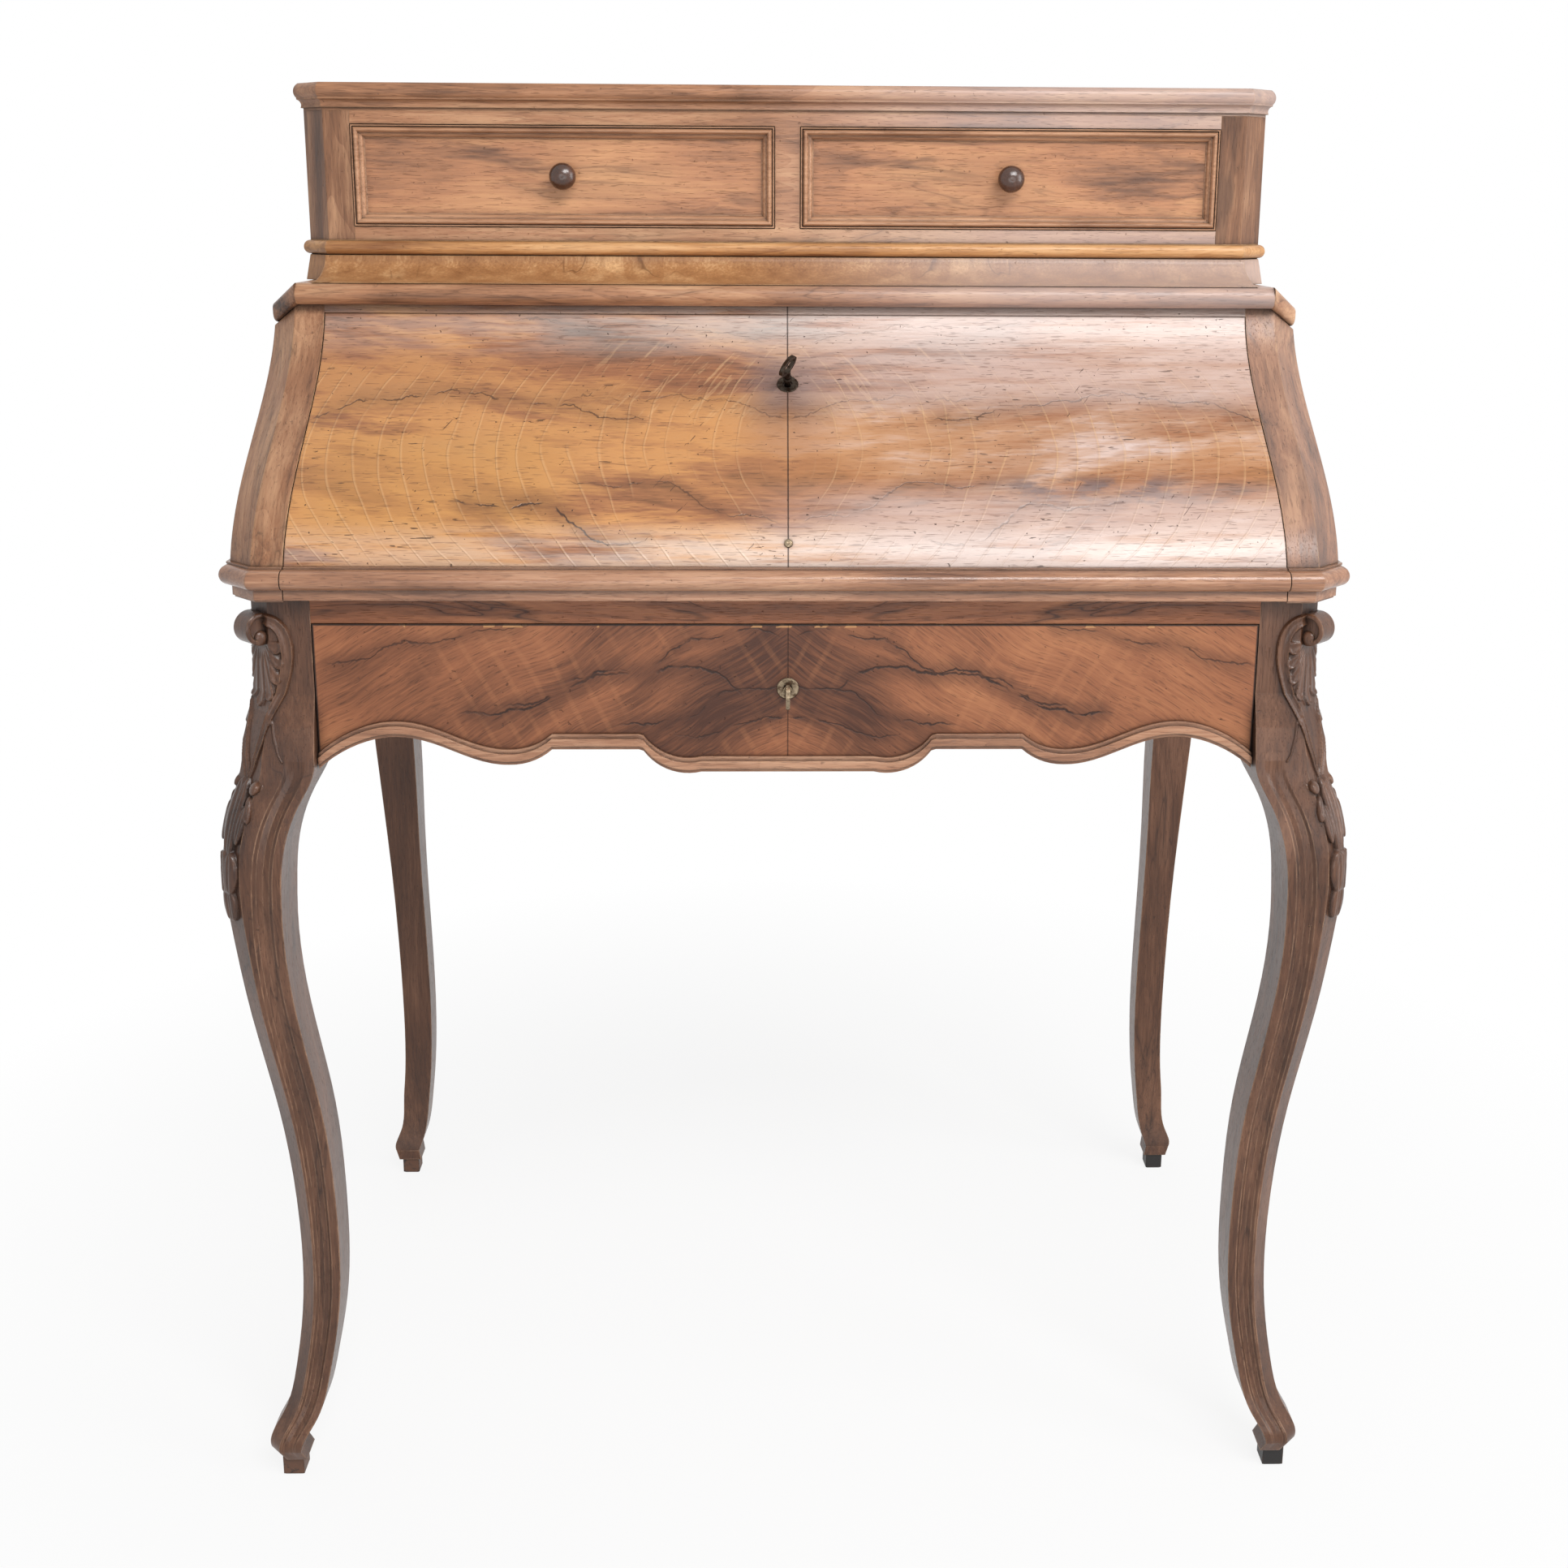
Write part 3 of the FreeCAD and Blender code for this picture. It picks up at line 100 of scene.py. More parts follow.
# Several light tones also colour the worn edges, where a painted highlight lies
class DeskColours(bpy.types.PropertyGroup):
    case_dark: colour_setting("Case dark", "Darkest grain of the case's walnut", 84, 56, 41)
    case_mid: colour_setting("Case middle", "Middle tone of the case's walnut", 168, 120, 88)
    case_light: colour_setting("Case light", "Lightest grain of the case's walnut", 208, 164, 126)
    post_dark: colour_setting("Posts dark", "Darkest grain of the stiles and corner posts", 70, 48, 37)
    post_mid: colour_setting("Posts middle", "Middle tone of the stiles and corner posts", 146, 102, 74)
    post_light: colour_setting("Posts light", "Lightest grain of the stiles and corner posts", 188, 144, 110)
    flap_gold: colour_setting("Front golden", "Golden veneer on the left of the falling front", 200, 142, 86)
    flap_brown: colour_setting("Front brown", "Brown veneer over the whole falling front", 150, 97, 64)
    # Tone of the right half, greyed by a painted sheen
    flap_dusk_sheen: colour_setting("Front dusk", "Greyed veneer on the right of the falling front", 178, 136, 108)
    flap_vein: colour_setting("Front veins", "Dark veins of the falling front", 78, 46, 30)
    ochre: colour_setting("Front ochre", "Yellowed patch on the left of the falling front", 190, 136, 70)
    # Ripple lines: figure with a painted sheen; the rays use this colour too
    ripple: colour_setting("Ripples", "Pale ripple lines of the falling front", 232, 190, 140)
    # Painted grey sheen, in places mixed with bloom of the polish
    mauve_sheen: colour_setting("Haze", "Greyed haze on the right of the falling front", 210, 188, 180)
    ink: colour_setting("Stain", "Inky stain round the keyhole and in bruises", 78, 66, 72)
    # Partly bloom of the polish, partly painted sheen
    bloom_and_sheen: colour_setting("Bloom", "Pale bloom on the old polish", 224, 216, 208)
    panel_dark: colour_setting("Panels dark", "Dark streaks in the upper drawers", 92, 66, 54)
    panel_mid: colour_setting("Panels middle", "Middle tone of the upper drawers", 176, 124, 90)
    panel_light: colour_setting("Panels light", "Lightest grain of the upper drawers", 208, 156, 112)
    frame_dark: colour_setting("Frames dark", "Darkest tone of the moulded frames", 92, 58, 42)
    frame_mid: colour_setting("Frames middle", "Middle tone of the moulded frames", 178, 132, 100)
    frame_light: colour_setting("Frames light", "Rubbed tone of the moulded frames", 212, 168, 134)
    bead_dark: colour_setting("Mouldings dark", "Darkest grain of the base moulding and the bead",
                              78, 44, 30)
    bead_mid: colour_setting("Mouldings middle", "Middle tone of the base moulding and the bead",
                             160, 114, 86)
    bead_light: colour_setting("Mouldings light", "Rubbed tone of the base moulding and the bead",
                               206, 162, 130)
    cove: colour_setting("Hollow moulding", "Middle tone of the hollow moulding", 178, 128, 84)
    honey_dark: colour_setting("Honey dark", "Dark grain of the honey-coloured beads", 126, 80, 48)
    honey_mid: colour_setting("Honey middle", "Middle tone of the honey-coloured beads", 194, 142, 92)
    honey_light: colour_setting("Honey light", "Rubbed tone of the honey-coloured beads", 232, 188, 138)
    frieze_dark: colour_setting("Frieze dark", "Dark figure of the frieze veneer", 70, 38, 24)
    frieze_mid: colour_setting("Frieze middle", "Middle tone of the frieze veneer", 142, 88, 58)
    frieze_light: colour_setting("Frieze light", "Lightest tone of the frieze veneer", 180, 120, 80)
    stand_dark: colour_setting("Stand dark", "Darkest grain of the legs", 50, 30, 22)
    stand_mid: colour_setting("Stand middle", "Middle tone of the legs", 92, 60, 42)
    stand_light: colour_setting("Stand light", "Rubbed tone of the legs", 128, 90, 68)
    inner_mid: colour_setting("Inside", "Walnut of the pigeonholes and the writing bed", 150, 104, 66)
    lining_mid: colour_setting("Lining", "Pale wood of the drawer boxes and backs", 190, 147, 106)
    blacking: colour_setting("Blacking", "Paint of the foot blocks", 22, 18, 16)
    knob_wood: colour_setting("Knobs", "Dark wood of the turned knobs", 74, 44, 30)
    leather: colour_setting("Leather", "Skiver on the inside of the falling front", 92, 44, 26)
    iron: colour_setting("Iron", "Dark iron of the keys and locks", 74, 66, 58)
    brass: colour_setting("Brass", "Dull brass of the stays and pins", 176, 142, 84)
    nickel: colour_setting("Keyhole rings", "Rubbed metal of the keyhole rings", 150, 134, 112)


class DeskSizes(bpy.types.PropertyGroup):
    carving_proud: length_setting("Carving", "How far the highest form of a knee stands out", CARVING_PROUD)
    carving_step: length_setting("Carving step", "Spacing of the points that shape the carving", 0.62)
    roll_radius: length_setting("Roll radius", "Half the width of the roll at the top of the scroll", 12.5)
    roll_length: length_setting("Roll length", "How long that roll is across the corner", 18.0)
    frame_width: length_setting("Frame width", "Width of the moulded frame of an upper drawer", 10.8)
    knob_radius: length_setting("Knob radius", "Half the width of an upper drawer's knob", 10.9)
    knob_length: length_setting("Knob length", "How far a knob stands before its panel", 21.0)
    nail_radius: length_setting("Nail", "Half the width of the nail's head on the falling front", 3.2)
    slip_thickness: length_setting("Slip", "Thickness of the slip at the back of the hollow moulding", 11.0)
    # Reach of the lighter edges: wear, and on the timbers a painted highlight
    edge_reach: length_setting("Edge wear", "How far rubbing reaches from an edge", 1.6)


class DeskView(bpy.types.PropertyGroup):
    lens: FloatProperty(name="Lens", description="Focal length on a 36 mm sensor", default=41.109,
                        unit="CAMERA")
    place: FloatVectorProperty(name="Place", description="Where the camera stands", size=3,
                               default=(-0.008169, -1.5392, 1.031548), subtype="TRANSLATION")
    pitch: angle_setting("Pitch", "How far the camera looks down", 0.22713)
    yaw: angle_setting("Yaw", "How far the camera looks to the right", 0.022644)
    roll: angle_setting("Roll", "How far the camera leans", 0.005891)
    picture_size: FloatProperty(name="Picture size", description="Width and height of the picture, pixels",
                                default=1932.0)
    centre_across: FloatProperty(name="Centre across", description="Pixel column of the lens axis",
                                 default=1006.24)
    centre_down: FloatProperty(name="Centre down", description="Pixel row of the lens axis", default=757.82)


# Places that follow from the frame

flap_low, flap_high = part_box("flap_board")
leg_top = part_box("front_right_leg")[1].z


# Finishes


def fresh_tree(owner):
    """The empty node tree of a new material or world."""
    owner.use_nodes = True
    owner.node_tree.nodes.clear()
    return owner.node_tree


def add_node(tree, kind, inputs=None, **settings):
    """Adds a node. Each input is linked to another node's output, or set to a plain value."""
    made = tree.nodes.new(kind)
    for key, value in settings.items():
        setattr(made, key, value)
    for key, value in (inputs or {}).items():
        if isinstance(value, bpy.types.NodeSocket):
            tree.links.new(value, made.inputs[key])
        else:
            made.inputs[key].default_value = value
    return made


class Finish:
    """A surface finish, put together from pattern nodes that read the place on the desk, in metres."""

    def __init__(self, name):
        self.material = bpy.data.materials.new(name)
        self.tree = fresh_tree(self.material)
        self.place = self.node("ShaderNodeTexCoord").outputs["Object"]
        parts = self.node("ShaderNodeSeparateXYZ", {0: self.place})
        self.x, self.y, self.z = parts.outputs[0], parts.outputs[1], parts.outputs[2]

    def node(self, kind, inputs=None, **settings):
        return add_node(self.tree, kind, inputs, **settings)

    def math(self, operation, a, b=0.0, c=0.0):
        return self.node("ShaderNodeMath", {0: a, 1: b, 2: c}, operation=operation).outputs[0]

    def plus(self, a, b):
        return self.math("ADD", a, b)

    def minus(self, a, b):
        return self.math("SUBTRACT", a, b)

    def times(self, a, b):
        return self.math("MULTIPLY", a, b)

    def divided(self, a, b):
        return self.math("DIVIDE", a, b)

    def size(self, a):
        return self.math("ABSOLUTE", a)

    def larger(self, a, b):
        return self.math("MAXIMUM", a, b)

    def smaller(self, a, b):
        return self.math("MINIMUM", a, b)

    def weighed(self, *pairs):
        """The sum of some values, each times its weight."""
        total = 0.0
        for value, weight in pairs:
            total = self.math("MULTIPLY_ADD", value, weight, total)
        return total

    def point(self, x, y, z):
        return self.node("ShaderNodeCombineXYZ", {0: x, 1: y, 2: z}).outputs[0]

    def stretched(self, place, scale):
        return self.node("ShaderNodeVectorMath", {0: place, 1: scale}, operation="MULTIPLY").outputs[0]

    def moved(self, place, shift):
        return self.node("ShaderNodeVectorMath", {0: place, 1: shift}, operation="ADD").outputs[0]

    def turned(self, place, angle, axis="Y_AXIS"):
        return self.node("ShaderNodeVectorRotate", {"Vector": place, "Angle": angle},
                         rotation_type=axis).outputs[0]

    def noise(self, place, scale, detail, roughness=0.5, distortion=0.0):
        return self.node("ShaderNodeTexNoise",
                         {"Vector": place, "Scale": scale, "Detail": detail, "Roughness": roughness,
                          "Distortion": distortion}).outputs[0]

    def warped(self, place, scale, amount):
        """The place pushed about by a soft noise, so that straight grain wanders."""
        push = self.node("ShaderNodeTexNoise", {"Vector": place, "Scale": scale, "Detail": 2.0})
        middle = self.moved(push.outputs["Color"], (-0.5, -0.5, -0.5))
        return self.node("ShaderNodeVectorMath", {0: middle, 1: (amount, amount, amount), 2: place},
                         operation="MULTIPLY_ADD").outputs[0]

    def remap(self, value, low, high, to_low=0.0, to_high=1.0):
        return self.node("ShaderNodeMapRange", {0: value, 1: low, 2: high, 3: to_low, 4: to_high},
                         interpolation_type="SMOOTHSTEP").outputs[0]

    def band(self, value, middle, half, soft):
        """1 within half of the middle, fading to 0 over soft."""
        away = self.size(self.minus(value, middle))
        return self.remap(away, half, half + soft, 1.0, 0.0)

    def blend(self, factor, a, b):
        def colour(value):
            return value if isinstance(value, bpy.types.NodeSocket) else (value[0], value[1], value[2], 1.0)
        return self.node("ShaderNodeMix", {0: factor, 6: colour(a), 7: colour(b)},
                         data_type="RGBA").outputs[2]

    def ramp(self, value, stops):
        made = self.node("ShaderNodeValToRGB", {0: value})
        elements = made.color_ramp.elements
        while len(elements) < len(stops):
            elements.new(0.5)
        for element, (where, colour) in zip(elements, stops):
            element.position = where
            element.color = (colour[0], colour[1], colour[2], 1.0)
        return made.outputs[0]

    def edge(self, radius, blunt_below=None):
        """How near an edge a point is, where wear and, on the timbers, a painted highlight are laid, from 0
        on a flat to 1 on the edge, and the softened normal.

        Blunt edges count too below a level, where one is given."""
        soft = self.node("ShaderNodeBevel", {"Radius": radius}, samples=3).outputs[0]
        flat = self.node("ShaderNodeNewGeometry").outputs["Normal"]
        along = self.node("ShaderNodeVectorMath", {0: soft, 1: flat},
                          operation="DOT_PRODUCT").outputs["Value"]
        worn_and_highlit = self.remap(along, 0.97, 0.80)
        if blunt_below is not None:
            low = self.remap(self.z, blunt_below, blunt_below - 0.02)
            worn_and_highlit = self.larger(worn_and_highlit, self.times(self.remap(along, 0.995, 0.935), low))
        return worn_and_highlit, soft

    def hollow(self, reach):
        """How deep in a corner or a joint a point lies, from 0 in the open to 1."""
        open_sky = self.node("ShaderNodeAmbientOcclusion", {"Distance": reach}, samples=3).outputs["AO"]
        return self.remap(open_sky, 0.92, 0.42)

    def finish(self, colour, roughness, height=None, relief=0.0004, normal=None, metallic=0.0, coat=0.0,
               specular=0.5, coat_roughness=0.25):
        inputs = {"Base Color": colour, "Roughness": roughness, "Metallic": metallic, "Coat Weight": coat,
                  "Coat Roughness": coat_roughness, "Specular IOR Level": specular}
        if height is not None:
            bump = {"Height": height, "Distance": relief, "Strength": 1.0}
            if normal is not None:
                bump["Normal"] = normal
            inputs["Normal"] = self.node("ShaderNodeBump", bump).outputs[0]
        elif normal is not None:
            inputs["Normal"] = normal
        shader = self.node("ShaderNodeBsdfPrincipled", inputs)
        self.node("ShaderNodeOutputMaterial", {0: shader.outputs[0]})
        return self.material


# Painted grey sheen on the polish of the desk's right-hand side
GREY_SHEEN = shade(206, 196, 196)
GRAIN_RUN = {"x": (1.0, 9.0, 9.0), "y": (9.0, 1.0, 9.0), "z": (9.0, 9.0, 1.0)}


def fibre_scales(run, along, across):
    return tuple(along if axis == run else across for axis in "xyz")


def timber(name, dark, mid, light, run, seed, figure=5.0, contrast=1.0, gloss=0.34, mirrored=False,
           veins=0.35, worn_and_highlit=None, grime_and_shade_share=0.90, edge_reach=0.0016, cloud=1.0, relief=0.00040,
           grime_and_shade_reach=0.008, smudges=0.25, lean=0.0, polish=0.08, sheen=0.0, blunt_below=None):
    """Polished walnut: growth rings, fibres, pores and dark veins along one direction, worn on its edges,
    where a painted highlight lies too, with grime and painted shade in its hollows and, where asked, a
    painted grey sheen towards the right.
    """
    f = Finish(name)
    place = f.place
    if mirrored:
        place = f.point(f.size(f.x), f.y, f.z)
    if lean:
        place = f.turned(place, lean, "X_AXIS")
    place = f.moved(place, (seed, seed * 1.7, seed * 0.6))
    wander = f.warped(place, 3.0, 0.05)
    long_place = f.stretched(wander, GRAIN_RUN[run])
    rings = f.noise(long_place, figure * 0.42, 1.5, 0.45)
    late = f.math("POWER", f.math("FRACT", f.times(rings, 13.0)), 3.0)
    broad = f.noise(f.stretched(wander, fibre_scales(run, 4.0, 42.0)), 1.0, 3.0, 0.55)
    fibre = f.noise(f.stretched(f.warped(place, 30.0, 0.003), fibre_scales(run, 24.0, 480.0)),
                    1.0, 3.0, 0.60)
    clouds = f.noise(place, 5.5, 3.0, 0.55)
    tone = f.weighed((broad, 0.95 * contrast), (fibre, 0.50), (clouds, 0.95 * cloud),
                     (late, -0.10 * contrast))
    middle = 0.475 * contrast + 0.25 + 0.475 * cloud - 0.027 * contrast
    colour = f.ramp(f.plus(tone, 0.5 - middle), [(0.16, dark), (0.50, mid), (0.84, light)])
    smudge = f.remap(f.noise(f.stretched(wander, fibre_scales(run, 7.0, 38.0)), 1.0, 4.0, 0.60), 0.53, 0.68)
    colour = f.blend(f.times(smudge, smudges), colour, dark)
    vein_line = f.size(f.minus(f.noise(long_place, figure * 0.6, 3.0, 0.6, 0.8), 0.5))
    smoke = f.times(f.remap(vein_line, 0.08, 0.0), f.remap(clouds, 0.48, 0.64))
    vein = f.times(f.remap(vein_line, 0.009, 0.001), f.remap(clouds, 0.46, 0.58))
    colour = f.blend(f.times(smoke, veins * 0.8), colour, dark)
    colour = f.blend(f.times(vein, veins), colour, scaled(dark, 0.6))
    pores = f.remap(f.noise(f.stretched(place, fibre_scales(run, 90.0, 1400.0)), 1.0, 1.0, 0.6), 0.61, 0.72)
    colour = f.blend(f.times(pores, 0.38), colour, dark)
    # Painted grey sheen, growing towards the right-hand side
    if sheen:
        colour = f.blend(f.times(f.remap(f.x, -0.06, 0.22), sheen), colour, GREY_SHEEN)
    edge_nearness, soft = f.edge(edge_reach, blunt_below)
    # Edges lightened: wear, with a painted highlight along them
    patchy_worn_and_highlit = f.times(edge_nearness, f.remap(f.noise(place, 60.0, 3.0, 0.6), 0.35, 0.62, 0.25, 1.0))
    colour = f.blend(f.times(patchy_worn_and_highlit, 0.62), colour, worn_and_highlit or light)
    # Darkened in hollows and joints: grime, with painted shade
    grime_and_shade = f.hollow(grime_and_shade_reach)
    colour = f.blend(f.times(grime_and_shade, grime_and_shade_share), colour, scaled(dark, 0.20))
    dents = f.remap(f.noise(place, 260.0, 2.0, 0.5), 0.71, 0.78)
    colour = f.blend(f.times(dents, 0.4), colour, scaled(dark, 0.5))
    rough = f.weighed((fibre, 0.22), (pores, 0.18), (grime_and_shade, 0.25), (clouds, 0.18), (1.0, gloss - 0.20))
    height = f.weighed((fibre, 0.30), (pores, -0.45), (dents, -0.8), (broad, 0.40))
    return f.finish(colour, rough, height, relief, soft, coat=polish, specular=0.30)


# The ripples of the falling front: how far apart they are in metres, and the share of its height where they
# reach furthest out
RIPPLE_SPACING = 0.0185
RIPPLE_APEX = 0.46
# Dark veins of the falling front, on each side of its seam. A place on one is its share of the half width
# outwards and its share of the height; after the places come half the line's width in metres, its strength
# and half the width of the smoky band beside it.
FLAP_VEINS = (
    (((0.30, 0.560), (0.36, 0.560), (0.47, 0.620), (0.60, 0.635), (0.70, 0.665), (0.80, 0.650),
      (0.90, 0.635), (0.97, 0.580), (1.00, 0.555)), 0.0007, 0.75, 0.012),
    (((0.27, 0.120), (0.33, 0.085), (0.38, 0.100), (0.45, 0.200), (0.50, 0.240), (0.57, 0.230),
      (0.62, 0.245), (0.68, 0.250)), 0.0010, 0.90, 0.014),
    (((0.02, 0.180), (0.10, 0.210), (0.17, 0.235), (0.22, 0.300), (0.30, 0.330), (0.38, 0.310),
      (0.45, 0.320)), 0.0007, 0.60, 0.010),
    (((0.00, 0.560), (0.06, 0.590), (0.14, 0.640), (0.24, 0.660), (0.33, 0.640), (0.40, 0.655),
      (0.52, 0.610)), 0.0006, 0.50, 0.014),
    (((0.05, 0.880), (0.12, 0.905), (0.30, 0.955), (0.44, 0.945), (0.52, 0.975), (0.60, 0.960)),
     0.0006, 0.50, 0.010))


def vein_along(f, along, level, points, half, smoke_half, rough_level, span):
    """A dark line through given points, with the smoky band beside it: the two as factors."""
    curve = f.node("ShaderNodeFloatCurve", {"Value": along})
    places = curve.mapping.curves[0].points
    while len(places) < len(points):
        places.new(0.5, 0.5)
    for place, (where, height) in zip(places, points):
        place.location = (where, height)
    curve.mapping.use_clip = True
    curve.mapping.update()
    away = f.size(f.times(f.minus(level, curve.outputs[0]), span))
    ends = f.times(f.remap(along, points[0][0] - 0.01, points[0][0] + 0.02),
                   f.remap(along, points[-1][0] + 0.01, points[-1][0] - 0.03))
    line = f.times(f.remap(away, half, half * 0.2), f.times(ends, rough_level))
    smoke = f.times(f.remap(away, smoke_half, 0.0), ends)
    return line, smoke


def vein_lines(f, along, level, span, rows, broken, smoke_share):
    """All the dark lines of one veneer, and the smoke beside them: the two as factors."""
    lines, smokes = 0.0, 0.0
    for points, half, strength, smoke_half in rows:
        vein, smoke = vein_along(f, along, level, points, half, smoke_half, broken, span)
        lines = f.larger(f.times(vein, strength), lines)
        smokes = f.larger(f.times(smoke, strength * smoke_share), smokes)
    return lines, smokes


def flap_ground(f, colours, tone, side, patches, along, level):
    """The falling front's colour, golden on the left and greyed by a painted sheen on the right, with its
    broad tints.
    """
    warm = f.ramp(tone, [(0.10, colours.flap_vein), (0.36, colours.flap_brown), (0.62, colours.flap_gold),
                         (0.92, colours.honey_mid)])
    # The right half's ramp, greyed by a painted sheen
    sheen_greyed = f.ramp(tone, [(0.10, colours.flap_vein), (0.34, colours.flap_brown), (0.62, colours.flap_dusk_sheen),
                         (0.92, colours.mauve_sheen)])
    colour = f.blend(side, warm, sheen_greyed)
    golden = f.times(f.band(level, 0.44, 0.08, 0.18), f.remap(patches, 0.36, 0.56))
    colour = f.blend(f.times(golden, f.remap(f.x, 0.0, 0.2, 0.42, 0.34)), colour, colours.flap_gold)
    ochre = f.times(f.times(f.band(level, 0.30, 0.12, 0.16), f.band(along, 0.72, 0.16, 0.18)),
                    f.minus(1.0, side))
    colour = f.blend(f.times(ochre, 0.45), colour, colours.ochre)
    umber = f.times(f.band(level, 0.74, 0.06, 0.14), f.remap(along, 0.02, 0.3))
    return f.blend(f.times(umber, 0.34), colour, colours.flap_brown)


def flap_ripples(f, place, across, along, level):
    """Nested ripples that open towards the seam: their pale lines, which carry a painted sheen, and the
    swell between them, which carries a painted shade, as factors.
    """
    lift = f.size(f.minus(level, RIPPLE_APEX))
    bow = f.math("POWER", lift, 1.6)
    bend = f.noise(place, 9.0, 2.0)
    ripple_place = f.weighed((across, 1.0), (bow, 0.16), (bend, 0.035))
    steps = f.math("FRACT", f.divided(ripple_place, RIPPLE_SPACING))
    line = f.times(f.remap(steps, 0.86, 0.94), f.remap(steps, 1.0, 0.96))
    seen = f.times(f.remap(f.noise(place, 16.0, 2.0), 0.34, 0.52),
                   f.band(level, RIPPLE_APEX - 0.08, 0.32, 0.12))
    seen = f.times(seen, f.remap(along, 0.03, 0.10))
    return f.times(line, seen), f.times(f.minus(steps, 0.5), seen)


def flap_stains_and_sheen(f, colours, colour, side, across, along, level, clouds, streaks):
    """Lays a bruise and the stain round the keyhole on a colour, then the bloom of the old polish mixed with
    a painted sheen at the top and the foot, and a painted grey sheen on the right.
    """
    bruise = f.times(f.times(f.band(along, 0.62, 0.12, 0.14), f.band(level, 0.29, 0.025, 0.06)), side)
    blotches = f.noise(f.stretched(f.place, (30.0, 30.0, 110.0)), 1.0, 4.0, 0.65)
    bruise = f.times(bruise, f.remap(blotches, 0.40, 0.60))
    colour = f.blend(f.times(bruise, 0.75), colour, colours.ink)
    stain = f.times(f.remap(across, 0.050, 0.006), f.band(level, 0.70, 0.05, 0.13))
    colour = f.blend(f.times(stain, f.remap(clouds, 0.30, 0.60, 0.25, 0.75)), colour, colours.ink)
    # Pale bands at the top and the foot, stronger on the right: partly bloom of the polish, partly painted
    # sheen
    high = f.times(f.remap(level, 0.76, 0.95), f.remap(f.x, -0.34, 0.03, 0.34, 0.90))
    foot = f.times(f.remap(level, 0.20, 0.07), f.remap(f.x, -0.30, 0.03, 0.40, 1.0))
    bloom_and_sheen = f.times(f.plus(high, foot), f.remap(streaks, 0.26, 0.56))
    colour = f.blend(f.times(bloom_and_sheen, 0.50), colour, colours.bloom_and_sheen)
    # Painted grey sheen on the right half, away from the middle of the height, partly bloom
    sheen = f.times(f.times(side, f.remap(f.size(f.minus(level, 0.46)), 0.10, 0.24)), 0.60)
    return f.blend(f.times(sheen, f.remap(streaks, 0.30, 0.60, 0.5, 1.0)), colour, colours.mauve_sheen)


def flap_harm(f):
    """Cracks, scratches and dents, as one factor."""
    cracks = f.noise(f.stretched(f.place, (70.0, 200.0, 520.0)), 1.0, 2.0, 0.55)
    crack = f.times(f.remap(cracks, 0.685, 0.71), f.remap(f.noise(f.place, 16.0, 1.0), 0.50, 0.58))
    scratches = f.noise(f.stretched(f.turned(f.place, 0.8), (60.0, 60.0, 900.0)), 1.0, 1.0)
    scratch = f.times(f.remap(scratches, 0.745, 0.765), f.remap(f.noise(f.place, 19.0, 1.0), 0.54, 0.60))
    dents = f.remap(f.noise(f.place, 330.0, 2.0), 0.72, 0.76)
    return f.larger(crack, f.larger(scratch, dents))


